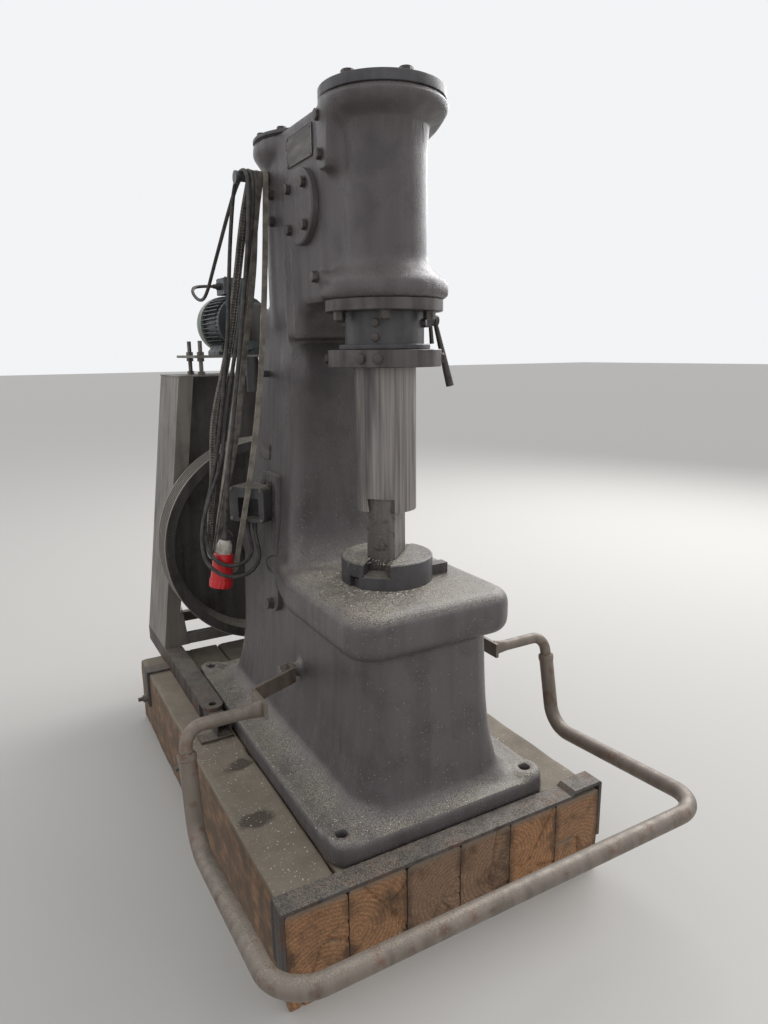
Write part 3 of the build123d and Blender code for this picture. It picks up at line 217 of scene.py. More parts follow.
# %% recipe for weathered metal
def weathered(
    name, base, stain, dust, rough=(0.34, 0.62), grain=0.004, depth=0.0006, stain_size=0.12, stain_from=0.50,
    specks=0.62, dust_from=0.45, dust_amount=0.8, streaks=0.5, metallic=0.0, soften=0.0,
):
    """Skin: noise of two sizes. Colour: base, then stain by broad noise, streaks that are 12 times as
    tall as wide, round specks in cells picked by chance, and grainy dust where the surface faces up.
    Specks and dust thin out from 1.0 to 1.4 m above the floor, where oil keeps the machine dark."""
    material, node, place = new_finish(name, metallic)
    fine = node("TexNoise", {"Vector": place, "Scale": 1 / grain, "Detail": 5.0, "Roughness": 0.6})
    broad = node("TexNoise", {"Vector": place, "Scale": 1 / stain_size, "Detail": 8.0, "Roughness": 0.62})
    tall = node("Mapping", {"Vector": place, "Scale": (1 / 0.03, 1 / 0.03, 1 / 0.36)})
    drips = node("TexNoise", {"Vector": tall, "Scale": 1.0, "Detail": 4.0})
    stained = node("MapRange", (broad, stain_from, stain_from + 0.16))
    coloured = node("Mix", {0: stained, 6: base, 7: stain}, data_type="RGBA")
    run = node("MapRange", (drips, 0.42, 0.68, 1.0, 1.0 - streaks))
    shaded = node("Mix", {0: 1.0, 6: coloured, 7: run}, data_type="RGBA", blend_type="MULTIPLY")
    speck = node("TexNoise", {"Vector": place, "Scale": 1 / 0.003, "Detail": 2.0, "Roughness": 0.7})
    cells = node("TexVoronoi", {"Vector": place, "Scale": 1 / 0.006})
    dots = node("MapRange", (cells, 0.28, 0.14, 0.0, 0.55))
    chance = node("SeparateColor", [cells.outputs["Color"]])
    patchy = node("Math", (broad, 0.8, chance), operation="MULTIPLY_ADD")
    chosen = node("Math", (patchy, specks + 0.68), operation="GREATER_THAN")
    placed = node("SeparateXYZ", [place])
    low = node("MapRange", (placed.outputs["Z"], 1.0, 1.4, 1.0, 0.2))
    low_dots = node("Math", (dots, low), operation="MULTIPLY")
    specked = node("Math", (low_dots, chosen), operation="MULTIPLY")
    dotted = node("Mix", {0: specked, 6: shaded, 7: dust}, data_type="RGBA")
    facing = node("SeparateXYZ", [node("NewGeometry").outputs["Normal"]])
    upward_part = node("MapRange", (facing.outputs["Z"], dust_from, 1.0, 0.0, dust_amount))
    drifts = node("MapRange", (broad, 0.34, 0.56, 0.45, 1.0))
    drifted = node("Math", (upward_part, drifts), operation="MULTIPLY")
    grains = node("MapRange", (speck, 0.46, 0.56, 0.08, 1.0))
    settled = node("Math", (drifted, low), operation="MULTIPLY")
    dusty = node("Math", (settled, grains), operation="MULTIPLY")
    final = node("Mix", {0: dusty, 6: dotted, 7: dust}, data_type="RGBA")
    shine = node("MapRange", (drips, 0.3, 0.7, *rough))
    dull = node("Math", (shine, dusty), operation="MAXIMUM")
    lumps = node("Math", (speck, fine), operation="ADD")
    relief = node("Bump", {"Height": lumps, "Distance": depth, "Strength": 0.8})
    if soften:
        feed(material.node_tree, node("Bevel", {"Radius": soften}, samples=4), relief.inputs["Normal"])
    return dress(material, Base_Color=final, Roughness=dull, Normal=relief)


# %% finishes of the castings
# Enamel brushed on a sand casting: dark, satin from oil, with a pebbled skin and pale dust on top.
graphite_enamel = weathered(
    "graphite_enamel_on_cast_iron", "#575152", "#484344", "#b5ad9c", rough=(0.24, 0.44), depth=0.0012,
    dust_from=0.30, streaks=0.18, soften=0.004,
)
# Cast iron black with oil: darker than the enamel, with a lower skin and edges as round.
oily_casting = weathered(
    "oily_cast_iron", "#494749", "#333134", "#b5ad9c", rough=(0.3, 0.5), specks=0.68, streaks=0.3, soften=0.003
)
# Bare cast iron, turned on its face: brown grey, dull, with thick pale dust inside the rim that also paints the
# light falling on its upward inner face.
wheel_iron = weathered(
    "bare_cast_iron_wheel", "#4b4845", "#3a3431", "#a39c8f", rough=(0.45, 0.7), metallic=0.4, specks=0.66,
    dust_from=0.2, dust_amount=1.0,
)

# %% finishes of the sheets and tubes
# Enamel on folded sheet: a flat beige grey with little grain and faint runs.
stand_enamel = weathered(
    "worn_grey_enamel_on_sheet", "#736e67", "#635f58", "#a09b92", rough=(0.4, 0.6), grain=0.012,
    depth=0.0002, specks=0.76, streaks=0.25,
)
# Rolled channel that has rusted on the floor: black brown, rough, with rust in patches of 6 cm.
rusty_channel = weathered(
    "rusty_channel_steel", "#4e4845", "#5b3d2b", "#8d8579", rough=(0.55, 0.8), depth=0.0005,
    stain_size=0.06, stain_from=0.52,
)
# Sprayed motor enamel: a cool dark blue grey, with a skin too fine to see.
motor_enamel = weathered(
    "blue_grey_motor_enamel", "#3f4648", "#333838", "#7f8078", rough=(0.35, 0.55), grain=0.003, depth=0.0002
)
# The cowl's newer enamel: pale green, nearly smooth.
cowl_enamel = weathered(
    "pale_green_cowl_enamel", "#8a938b", "#6f766e", "#a5a59a", rough=(0.35, 0.55), grain=0.01, depth=0.0001
)
# Tube worn bare by use: a pale brown grey with rust in its stains and a slight shine.
treadle_steel = weathered(
    "worn_treadle_tube", "#7a7066", "#684838", "#a39a8c", rough=(0.38, 0.6), metallic=0.2, grain=0.003,
    depth=0.0002, stain_size=0.05, stain_from=0.54, streaks=0.25, specks=0.64, dust_amount=0.5,
)
print("weathered finishes:", len(bpy.data.materials))

# %% [markdown]
# Years under belts have rubbed the rim of the wheel brighter than the rest. Its colour
# mixes into a pale one beyond a radius just short of the rim's, measured from the axis.
# The motor pulley has the same finish and lies further out than the rim, and stays dark.

# %% rubbed rim of the wheel
dark_to, bright_from, beyond_rim = 0.399, 0.402, 0.41  # metres from the axis
node = partial(add, wheel_iron.node_tree)
place = wheel_iron.node_tree.nodes["Texture Coordinate"].outputs["Object"]
spoke = node("Mapping", {"Vector": place, "Location": (0, 0, -bed - wheel_axis / 1000), "Scale": (1, 0, 1)})
spoke_length = node("VectorMath", [spoke], operation="LENGTH")
on_wheel = node("Math", (spoke_length, beyond_rim), operation="LESS_THAN")
rubbed = node("MapRange", (spoke_length, dark_to, bright_from, 0.0, 0.8))
polished = node("Math", (rubbed, on_wheel), operation="MULTIPLY")
below = wheel_iron.node_tree.nodes["Principled BSDF"].inputs["Base Color"].links[0].from_socket
tread = node("Mix", {0: polished, 6: below, 7: "#9c968d"}, data_type="RGBA")
dress(wheel_iron, Base_Color=tread)
print("rim is bright from", bright_from, "m")

# %% [markdown]
# The ram is a turned and ground steel bar. Years in its guide have scored it lengthwise,
# so its marks are long thin noise, 60 times as tall as wide, with darker bands of burnt
# oil. The dies are the same steel with forge scale: paler, brown in the pits and rough.

# %% steel of the ram
# Ground steel scored lengthwise: bright streaks that stretch a highlight, under dark oily bands.
ram_steel, node, place = new_finish("scored_ram_steel", metallic=0.85)
lengthwise = node("Mapping", {"Vector": place, "Scale": (1 / 0.006, 1 / 0.006, 1 / 0.36)})
scores = node("TexNoise", {"Vector": lengthwise, "Scale": 1.0, "Detail": 5.0})
wide = node("Mapping", {"Vector": place, "Scale": (1 / 0.05, 1 / 0.05, 1 / 0.5)})
bands = node("TexNoise", {"Vector": wide, "Scale": 1.0, "Detail": 3.0})
worn = node("MapRange", (scores, 0.25, 0.75))
bright = node("Mix", {0: worn, 6: "#67625f", 7: "#a39d99"}, data_type="RGBA")
burnt = node("MapRange", (bands, 0.50, 0.66))
final = node("Mix", {0: burnt, 6: bright, 7: "#5c5758"}, data_type="RGBA")
shine = node("MapRange", (scores, 0.3, 0.7, 0.34, 0.55))
relief = node("Bump", {"Height": scores, "Distance": 0.0003, "Strength": 0.6})
dress(ram_steel, Base_Color=final, Roughness=shine, Normal=relief)

# %% steel of the dies, rings and fasteners
# Forged tool steel under scale: pale grey, brown in the pits, rough to the light.
die_steel = weathered(
    "scaled_die_steel", "#736e6a", "#4a3a33", "#b5ab9c", rough=(0.42, 0.65), metallic=0.6, grain=0.003,
    depth=0.0008, stain_size=0.03, stain_from=0.53, streaks=0.35, specks=0.58,
)
# Steel off the lathe, filmed with oil: smooth, warm dark grey, with soft reflections.
turned_steel = weathered(
    "oily_turned_steel", "#5e5857", "#454040", "#938d87", rough=(0.3, 0.5), metallic=0.6, grain=0.002,
    depth=0.0001, specks=0.70, streaks=0.4,
)
# Zinc that has gone dull: a paler, greyer fastener with brown in its corners.
zinc_steel = weathered(
    "dull_zinc_fastener", "#77736d", "#5a4f45", "#9a938a", rough=(0.4, 0.6), metallic=0.7, grain=0.002,
    depth=0.0001, stain_size=0.02, streaks=0.2,
)
# Black bolts wet with oil: dark brown grey heads that catch a small highlight.
dark_bolt_steel = weathered(
    "oily_black_bolt_steel", "#4f4a47", "#3a3330", "#8a8378", rough=(0.3, 0.5), dust_from=0.2, metallic=0.4,
    grain=0.002, depth=0.0002, stain_size=0.02, streaks=0.2,
)

# %% [markdown]
# The bed is six squared softwood beams, old enough to be grey with dust on top and orange
# brown where the ends were sawn. Wood is a solid pattern: rings round the length of each
# beam, so that one pattern gives rings on the ends and lines along the sides. Each beam's
# pith is moved by a random amount, found from the beam's number along X.

# %% timber: rings round each beam's own pith
timber_left, timber_pitch, timber_side = -0.488, 0.159, 0.158
wave_size = 0.036  # a wave repeats after 0.314 of this: rings of 11 mm, coarser than real ones, to show
# Old sawn softwood: too rough to shine, so its colour and its cracks carry it.
old_softwood, node, place = new_finish("sawn_softwood", roughness=0.8)
axes = node("SeparateXYZ", [place])
along_bed = node("Math", (axes, -timber_left), operation="ADD")
beams = node("Math", (along_bed, timber_pitch), operation="DIVIDE")
beam_number = node("Math", [beams], operation="FLOOR")
beam_part = node("Math", [beams], operation="FRACT")
luck = node("TexWhiteNoise", {"W": beam_number}, noise_dimensions="1D")
pith = node("SeparateColor", [luck.outputs["Color"]])
pith_x = node("Math", (beam_part, pith), operation="SUBTRACT")
beam_x = node("Math", (pith_x, timber_pitch), operation="MULTIPLY")
pith_z = node("Math", (pith.outputs[1], -0.22), operation="MULTIPLY")
beam_z = node("Math", (axes.outputs["Z"], pith_z), operation="ADD")
beam_y = node("Math", (axes.outputs["Y"], 0.05), operation="MULTIPLY")
local = node("CombineXYZ", (beam_x, beam_y, beam_z))
rings = node(
    "TexWave",
    {"Vector": local, "Scale": 1 / wave_size, "Distortion": 4.0, "Detail": 3.0, "Detail Scale": 0.5},
    wave_type="RINGS",
    rings_direction="Y",
)
stretched = node("Mapping", {"Vector": place, "Scale": (1 / 0.004, 1 / 0.12, 1 / 0.004)})
fibres = node("TexNoise", {"Vector": stretched, "Scale": 1.0, "Detail": 6.0})
patches = node("TexNoise", {"Vector": place, "Scale": 1 / 0.07, "Detail": 7.0, "Roughness": 0.65})
tint = pith.outputs[2]
early = node("Mix", {0: tint, 6: "#b5804f", 7: "#876b53"}, data_type="RGBA")
late = node("Mix", {0: tint, 6: "#9c6c44", 7: "#755c49"}, data_type="RGBA")
ringed = node("Mix", {0: rings.outputs[1], 6: early, 7: late}, data_type="RGBA")
fibred = node("MapRange", (fibres, 0.3, 0.7, 0.50, 1.25))
sawn = node("Mix", {0: 1.0, 6: ringed, 7: fibred}, data_type="RGBA", blend_type="MULTIPLY")

# %% timber: oil in the joints and patches, and grey on the sides
from_joint = node("Math", (beam_part, 0.5), operation="SUBTRACT")
beside_joint = node("Math", [from_joint], operation="ABSOLUTE")
near_joint = node("MapRange", (beside_joint, 0.36, 0.5, 0.0, 0.16))
darkness = node("Math", (patches, near_joint), operation="ADD")
blackened = node("MapRange", (darkness, 0.50, 0.70, 0.0, 0.9))
oiled = node("Mix", {0: blackened, 6: sawn, 7: "#4a3626"}, data_type="RGBA")
facing = node("SeparateXYZ", [node("NewGeometry").outputs["Normal"]])
end_grain = node("Math", [facing.outputs["Y"]], operation="ABSOLUTE")
greyed = node("MapRange", (end_grain, 0.3, 0.8, 0.25, 0.0))
near_top = node("MapRange", (axes.outputs["Z"], 0.236, 0.252, 0.0, 0.75))
scuffed = node("Math", (near_top, greyed), operation="MAXIMUM")
sides = node("Mix", {0: scuffed, 6: oiled, 7: "#6f665a"}, data_type="RGBA")

# %% timber: dust and two spills on top
upward_part = node("MapRange", (facing.outputs["Z"], 0.4, 0.9, 0.0, 0.92))
dust_colour = node("Mix", {0: patches, 6: "#5f584d", 7: "#9a9080"}, data_type="RGBA")
stains = 0.0
for spill_x, spill_y, half_x, half_y in ((-0.380, 0.244, 0.035, 0.030), (-0.429, -0.029, 0.055, 0.030)):
    to_spill, to_half = (-spill_x / half_x, -spill_y / half_y, 0), (1 / half_x, 1 / half_y, 0)
    shifted = node("Mapping", {"Vector": place, "Location": to_spill, "Scale": to_half})
    away = node("VectorMath", [shifted], operation="LENGTH")
    ragged = node("Math", (patches, 2.2, away), operation="MULTIPLY_ADD")
    spill = node("MapRange", (ragged, 1.9, 2.4, 0.75, 0.0))
    stains = node("Math", (spill, stains), operation="MAXIMUM")
spilt = node("Mix", {0: stains, 6: dust_colour, 7: "#352c25"}, data_type="RGBA")
topped = node("Mix", {0: upward_part, 6: sides, 7: spilt}, data_type="RGBA")
height = node("Math", (fibres, patches), operation="ADD")
relief = node("Bump", {"Height": height, "Distance": 0.0016, "Strength": 0.8})
dress(old_softwood, Base_Color=topped, Normal=relief)
print("timber nodes:", len(old_softwood.node_tree.nodes))

# %% [markdown]
# Rubber and plastic. The belts are rubber with a cotton cover, dusty grey brown; the
# cables are black chloroprene with a bloom of dust; the plug is glossy red nylon with a
# pale cap. None of them is evenly coloured, so each mixes a second tone by noise.

# %% rubber, plastic and bare metal in two tones
def mottled(name, first, second, size, rough, depth=0.0001, metallic=0.0, tone=0.42, stretch=(1, 1, 1)):
    """Two tones mixed by noise of the given size, which also makes a low relief."""
    material, node, place = new_finish(name, metallic, rough)
    scaled = node("Mapping", {"Vector": place, "Scale": stretch})
    noise = node("TexNoise", {"Vector": scaled, "Scale": 1 / size, "Detail": 6.0, "Roughness": 0.6})
    mixed = node("MapRange", (noise, tone, tone + 0.2))
    colour = node("Mix", {0: mixed, 6: first, 7: second}, data_type="RGBA")
    relief = node("Bump", {"Height": noise, "Distance": depth, "Strength": 0.6})
    return dress(material, Base_Color=colour, Normal=relief)


# Chloroprene: black, matt, greyed by dust in patches of 2 cm.
dusty_rubber = mottled("dusty_black_rubber", "#2b2a29", "#47433f", 0.02, 0.6)
# Rubber under cotton: a dull brown grey with a cloth's uneven skin, and one belt that sun has bleached.
belt_rubber = mottled("cotton_covered_belt_rubber", "#6f6a64", "#4c4741", 0.03, 0.75, depth=0.0004)
pale_belt_rubber = mottled("pale_worn_belt_rubber", "#8c857b", "#69635b", 0.04, 0.75, depth=0.0003)
# Moulded nylon: the plug's red is glossy and nearly even, and its cap is an aged white.
red_nylon = mottled("red_nylon", "#c01f24", "#8f1719", 0.03, 0.32, tone=0.55)
pale_nylon = mottled("pale_nylon_cap", "#b9b4ab", "#8f8a80", 0.02, 0.4)
# Brushed aluminium: marks drawn long along the plate, bright where they turn to the light.
brushed_aluminium = mottled(
    "brushed_aluminium", "#8f8f8e", "#5c5b5a", 0.02, 0.38, depth=0.00005, metallic=0.8, stretch=(1, 0.15, 4)
)
# An etched plate that has darkened: a low shine on brown grey.
dark_plate = mottled("dark_etched_plate", "#4b4744", "#6b6661", 0.05, 0.45, metallic=0.4, stretch=(1, 0.4, 2))
# Scale that flaked off hot iron: pale, matt crumbs with dark ones among them.
forge_scale_crumbs = mottled("forge_scale_crumbs", "#d3ccbe", "#7d756a", 0.01, 0.85, depth=0.0003, tone=0.5)
# Weld metal: heat tints of brown over a rippled, half shiny bead.
weld_metal = mottled("brown_weld_metal", "#6e5a4c", "#8a7a6c", 0.006, 0.5, metallic=0.5, depth=0.0003)
print("finishes:", len(bpy.data.materials))

# %% finish of each CAD node
finish_of = {
    graphite_enamel: ["hammer_frame", "bearing_cover", "column_strap", "round_side_cover"],
    oily_casting: ["guide_neck", "lever_bracket", "oil_cup", "belt_hook", "die_holder", "side_box"],
    turned_steel: ["gland_ring", "guide_collar", "crankshaft", "holder_wedge"],
    wheel_iron: ["flywheel", "motor_pulley"],
    stand_enamel: ["stand_sides", "stand_back_panel", "stand_top_plate", "stand_cross_bars", "motor_plate"],
    rusty_channel: ["stand_rails", "rail_clips", "front_tie_plate"],
    motor_enamel: ["motor_body", "motor_end_shield", "terminal_box"],
    cowl_enamel: ["motor_fan_cowl"],
    treadle_steel: ["treadle_hoop", "treadle_links"],
    ram_steel: ["ram"],
    die_steel: ["upper_die", "lower_die"],
    zinc_steel: ["adjusting_rods", "timber_tie_rods", "treadle_pivots"],
    dark_bolt_steel: ["upper_die_key", "lower_die_key", "control_lever"],
    dark_plate: ["blank_nameplate"],
    dusty_rubber: ["cable_gland"],
}
for finish, names in finish_of.items():
    for name in names:
        nodes[name].data.materials.clear()
        nodes[name].data.materials.append(finish)
for cable in (motor_lead, supply_cable):
    cable.data.materials.append(dusty_rubber)
print("nodes with a finish:", sum(len(names) for names in finish_of.values()), "of", len(nodes))

# %% [markdown]
# New pieces are surfaces worked out with numpy. A surface is a grid of points whose
# columns close into a ring. Small things of one kind are joined: their grids become one
# mesh, in which the points of each are counted on from those of the one before.

# %% helpers for surfaces
def joined(grids, close_rows=False):
    """Points and quads of grids of one size; a point's number in its grid is row * columns + column."""
    grids = np.asarray(grids)
    count, rows, columns = grids.shape[:3]
    row, column = np.indices((rows if close_rows else rows - 1, columns)).reshape(2, -1)
    after, beside = (row + 1) % rows, (column + 1) % columns
    corners = ((row, column), (row, beside), (after, beside), (after, column))
    quads = np.stack([down * columns + along for down, along in corners], 1)
    return grids, (quads + np.arange(count)[:, None, None] * rows * columns).reshape(-1, 4)


def merge(mesh, gap, outwards=False):
    """Merges points closer than the gap and, when asked, turns the faces outwards."""
    work = bmesh.new()
    work.from_mesh(mesh)
    bmesh.ops.remove_doubles(work, verts=work.verts, dist=gap)
    if outwards:
        bmesh.ops.recalc_face_normals(work, faces=work.faces)
    work.to_mesh(mesh)
    work.free()


def vectors(mesh, kind="co"):
    """The places or the normals of a mesh's points, as rows."""
    values = np.empty(len(mesh.vertices) * 3)
    mesh.vertices.foreach_get(kind, values)
    return values.reshape(-1, 3)


def piece(name, surface, finish, body="root", replaces=(), smooth=True):
    """Puts points and faces into a mesh, merges its poles and seams and turns the faces outwards."""
    points, faces = surface
    mesh = bpy.data.meshes.new(name)
    mesh.from_pydata(np.reshape(points, (-1, 3)).tolist(), [], faces.tolist())
    mesh.validate()
    merge(mesh, 1e-6, outwards=True)
    if smooth:
        mesh.shade_smooth()
        mesh.set_sharp_from_angle(angle=math.radians(35))
    else:
        mesh.shade_flat()
    made = put(name, mesh)
    mesh.materials.append(finish)
    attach(made, body)
    if replaces:
        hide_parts(*replaces)
    return made


def turn_to(axis):
    """Rotation matrix whose third column is the axis: a side direction is crossed with it twice."""
    third = np.asarray(axis, float) / np.linalg.norm(axis)
    helper = np.array([0.0, 0.0, 1.0]) if abs(third[2]) < 0.9 else np.array([0.0, 1.0, 0.0])
    first = np.cross(helper, third)
    first /= np.linalg.norm(first)
    return np.stack([first, np.cross(third, first), third], 1)


def full_turn(steps):
    """Angles evenly round a circle, in radians."""
    return np.linspace(0, 2 * np.pi, steps, endpoint=False)


def turned(profile, sides, centre=(0, 0, 0), axis=(0, 0, 1), flats=None):
    """Points of a profile of (radius, height) carried round an axis; with flats, a radius that is
    negative follows a polygon instead: its size over the cosine of the angle from the nearest flat."""
    profile = np.asarray(profile, float)
    angle = full_turn(sides)
    radius = np.repeat(np.abs(profile[:, :1]), sides, 1)
    if flats:
        step = 2 * np.pi / flats
        polygon = 1 / np.cos((angle + step / 2) % step - step / 2)
        radius = np.where(profile[:, :1] < 0, radius * polygon, radius)
    height = np.repeat(profile[:, 1:], sides, 1)
    local = np.stack([radius * np.cos(angle), radius * np.sin(angle), height], -1)
    return local @ turn_to(axis).T + np.asarray(centre, float)

# %% [markdown]
# The frame is one sand casting, and a casting has no sharp edge: the mould rounds each
# one. A copy of the CAD frame is merged, rebuilt from 9 mm voxels and smoothed, which
# rounds every edge and hollow by about as much as the pattern maker did. Voxels blur the
# bores, so their points are pushed back out, and the top flange gets its bulging rim.

# %% skin of the cast frame
def voxel_skin(node, voxel, passes):
    """Points and quads of the merged, remeshed and smoothed copy of a CAD node."""
    copy = node.data.copy()
    merge(copy, 1e-5)
    carrier = put("carrier", copy)
    voxels = carrier.modifiers.new("voxels", "REMESH")
    voxels.mode, voxels.voxel_size = "VOXEL", voxel
    smoothing = carrier.modifiers.new("smoothing", "SMOOTH")
    smoothing.factor, smoothing.iterations = 0.5, passes
    bpy.context.view_layer.update()
    skin = bpy.data.meshes.new_from_object(carrier.evaluated_get(bpy.context.evaluated_depsgraph_get()))
    points, corners = vectors(skin), np.empty(len(skin.loops), int)
    skin.loops.foreach_get("vertex_index", corners)
    bpy.data.objects.remove(carrier)
    bpy.data.meshes.remove(copy)
    bpy.data.meshes.remove(skin)
    return points, corners.reshape(-1, 4)


skin_points, skin_faces = voxel_skin(nodes["hammer_frame"], 0.009, 3)
skin_height = (skin_points[:, 2] - bed) * 1000
reach = np.hypot(skin_points[:, 0], skin_points[:, 1]) * 1000  # mm from the axis of the ram
in_front = np.clip((30 - skin_points[:, 1] * 1000) / 80, 0, 1)
flange, bore = (reach > 113) & (skin_height > 1690), (reach < 97) & (skin_height > 1300)
raised = np.interp(skin_height, [1690, 1705, 1756, 1790, 1806, 1823], [1690, 1746, 1775, 1793, 1806, 1823])
wider = np.interp(raised, [1746, 1775, 1793, 1806, 1812, 1823], [0, -4, 5, -2, -9, -9])
new_height = np.where(flange, skin_height + in_front * (raised - skin_height), skin_height)
new_reach = np.where(flange, reach + in_front * wider, reach)
new_reach = np.where(bore, np.maximum(reach, 84), new_reach)
skin_points[:, :2] *= (new_reach / np.maximum(reach, 1e-6))[:, None]
skin_points[:, 2] = new_height / 1000 + bed
casting = piece(
    "sand_cast_frame", (skin_points, skin_faces), graphite_enamel, replaces=["hammer_frame"]
)
print("casting quads:", len(skin_faces))

# %% [markdown]
# Bolts hold everything on this machine. A head is a turned profile whose side follows a
# hexagon, over a round washer, with a domed chamfer on top. One function makes a row of
# them from their places and directions, so a whole flange is one mesh.

# %% bolts
down, up, to_left, to_front, to_rear = (0, 0, -1), (0, 0, 1), (-1, 0, 0), (0, -1, 0), (0, 1, 0)


def bolt_profile(across, high):
    """Washer, hexagon, chamfer and dome as (radius, height) in metres; a negative radius is the hexagon."""
    half = across / 2
    washer = [(0, -0.002), (half * 1.25, -0.002), (half * 1.25, 0.0016), (half * 1.02, 0.0020)]
    head = [(-half, 0.0022), (-half, high - 0.0016), (half * 1.02, high - 0.0004), (half * 0.9, high)]
    return [*washer, *head, (0, high)]


def bolts(name, places, directions, across, high, finish=dark_bolt_steel):
    """Hexagon heads at places in mm above the bed, each pointing in its direction."""
    places = mm(places)
    profile = bolt_profile(across, high)
    directions = np.broadcast_to(np.asarray(directions, float), places.shape)
    heads = [turned(profile, 24, place, axis, flats=6) for place, axis in zip(places, directions)]
    return piece(name, joined(heads), finish)


def spokes(degrees, plane="xy"):
    """Unit vectors at angles in the plane of two axes: cosine along the first, sine along the second."""
    ways = np.zeros((len(degrees), 3))
    for axis, part in zip(plane, (np.cos, np.sin)):
        ways[:, "xyz".index(axis)] = part(np.radians(degrees))
    return ways


# %% covers of the cylinders with their bolts
def cover_points(radius, bottom, seat, rim, centre):
    """Turned cover, hollow up to its seat: a skirt with a gap line at its foot, a rounded rim, a groove
    inside the bolts and a low middle."""
    hollow = [(0, seat), (radius - 14, seat), (radius - 14, bottom), (radius - 6, bottom)]
    skirt = [(radius - 6, bottom + 2.2), (radius - 1, bottom + 2.6), (radius, bottom + 3.6)]
    edge = [(radius, rim - 3), (radius - 1, rim - 1), (radius - 3, rim), (radius - 34, rim)]
    middle = [(radius - 37, rim - 3), (radius - 52, rim - 3), (radius - 56, rim - 1), (0, rim - 1)]
    return turned(np.array(hollow + skirt + edge + middle) / 1000 + [0, bed], 96, (0, centre / 1000, 0))


covers = [cover_points(157, 1806, 1823.3, 1834, 0), cover_points(162, 1810, 1812.3, 1823, 450)]
piece("cylinder_cover_plates", joined(covers), oily_casting, replaces=["cylinder_covers"])
sixths, tenths, quarters = np.arange(6) * 60, np.arange(10) * 36, np.arange(4) * 90 + 45
bolts("ram_cover_bolts", (0, 0, 1834) + 133 * spokes(sixths - 155), up, 0.030, 0.0108)
bolts("compressor_cover_bolts", (0, 450, 1823) + 144 * spokes(tenths), up, 0.024, 0.0085)

# %% bolts of the gland, neck and collar
bolts("gland_nuts", (0, 0, 1316) + 130 * spokes(sixths - 119), down, 0.027, 0.022)
neck_ways = spokes([-132, -132, -48, 48, 132])
neck_heights = [(0, 0, height) for height in (1287, 1252, 1287, 1287, 1287)]
bolts("guide_neck_screws", neck_heights + 103 * neck_ways, neck_ways, 0.019, 0.010)
collar_ways = spokes([-142.5, -126, -30, 60, 150])
bolts("guide_collar_screws", (0, 0, 1200) + 148.5 * collar_ways, collar_ways, 0.022, 0.008)

# %% bolts on the left side of the casting
bolts("side_cover_bolts", (-151, 196, 1592) + 73 * spokes(quarters, "yz"), to_left, 0.024, 0.013)
plate_y, plate_z, plate_face = 211, 1744, -133.6
rivets = [(-134, plate_y + y, plate_z + z) for y in (-77, 77) for z in (-32, 32)]
bolts("nameplate_rivets", rivets, to_left, 0.007, 0.0022, zinc_steel)


def plate_rim(half_y, half_z, width=2.6, rise=1.6):
    """Raised border of a plate: a half-round section carried round a rectangle in Y and Z, and mitred at
    its four corners, where the section's inset runs along the diagonal."""
    part = np.linspace(0, np.pi, 7)
    inset = np.append(width / 2 * (1 - np.cos(part)), width / 2)[:, None]
    lift = np.append(rise * np.sin(part), -0.5)[:, None]
    corners = np.array([(-1, -1), (1, -1), (1, 1), (-1, 1)])[:, None]
    across_plate = (plate_y, plate_z) + corners * ((half_y, half_z) - inset)
    return mm(np.concatenate([np.broadcast_to(plate_face - lift, (4, 8, 1)), across_plate], -1))


rim = joined([plate_rim(84, 39)], close_rows=True)
piece("nameplate_rim", rim, brushed_aluminium, smooth=False)
wall_places = [(-153, 37, 1685), (-153, 40, 1772), (-131, 423, 1663), (-131, 424, 1590), (-178, 30, 1400)]
bolts("left_wall_bolts", wall_places, to_left, 0.024, 0.012)
off_strap = (-1, 0, 0.08)
bolts("strap_bolt", [(-210.5, 372, 446)], off_strap, 0.030, 0.016)
bolts("strap_top_bolts", [(-181.5, 410, 815), (-181.5, 452, 815)], off_strap, 0.022, 0.012)
box_turn = math.radians(35)
box_out = np.array([-math.cos(box_turn), -math.sin(box_turn), 0])
box_side = np.array([-math.sin(box_turn), math.cos(box_turn), 0])
box_corners = [(-259, 423.5, 759) + box_side * a + (0, 0, b) for a in (-55, 55) for b in (-46, 46)]
bolts("side_box_screws", box_corners, box_out, 0.010, 0.004, zinc_steel)

# %% bolts of the bearing, motor, stand and treadle
bearing_places = (0, 916, wheel_axis) + 96 * spokes(sixths + 15, "xz")
bolts("bearing_cover_bolts", bearing_places, to_rear, 0.022, 0.012)
shield_places = (0, 1112, motor_axis) + 92 * spokes(quarters, "xz")
bolts("motor_shield_screws", shield_places, to_front, 0.013, 0.008, zinc_steel)
left_right = (-1, 1)
foot_places = [(side * 82, y, 1224) for side in left_right for y in (1164, 1274)]
bolts("motor_foot_bolts", foot_places, up, 0.019, 0.012, zinc_steel)
lid_places = [(side * 42, y, 1506) for side in left_right for y in (1188, 1278)]
bolts("terminal_lid_screws", lid_places, up, 0.009, 0.004, zinc_steel)
stand_places = [(side * 372, y, 62) for side in left_right for y in (1150, 1350)]
bolts("stand_foot_bolts", stand_places, up, 0.024, 0.014, zinc_steel)
outwards = np.array([(side, 0, 0) for side in left_right])
pivot_places = (0, 180, 300) + 247 * outwards
bolts("treadle_pivot_nuts", pivot_places, outwards, 0.036, 0.018, zinc_steel)

# %% [markdown]
# A weld leaves a ripple for each step of the torch. Here it is a ring whose own
# thickness rises and falls round the joint, as a fixed share of the bead's size.

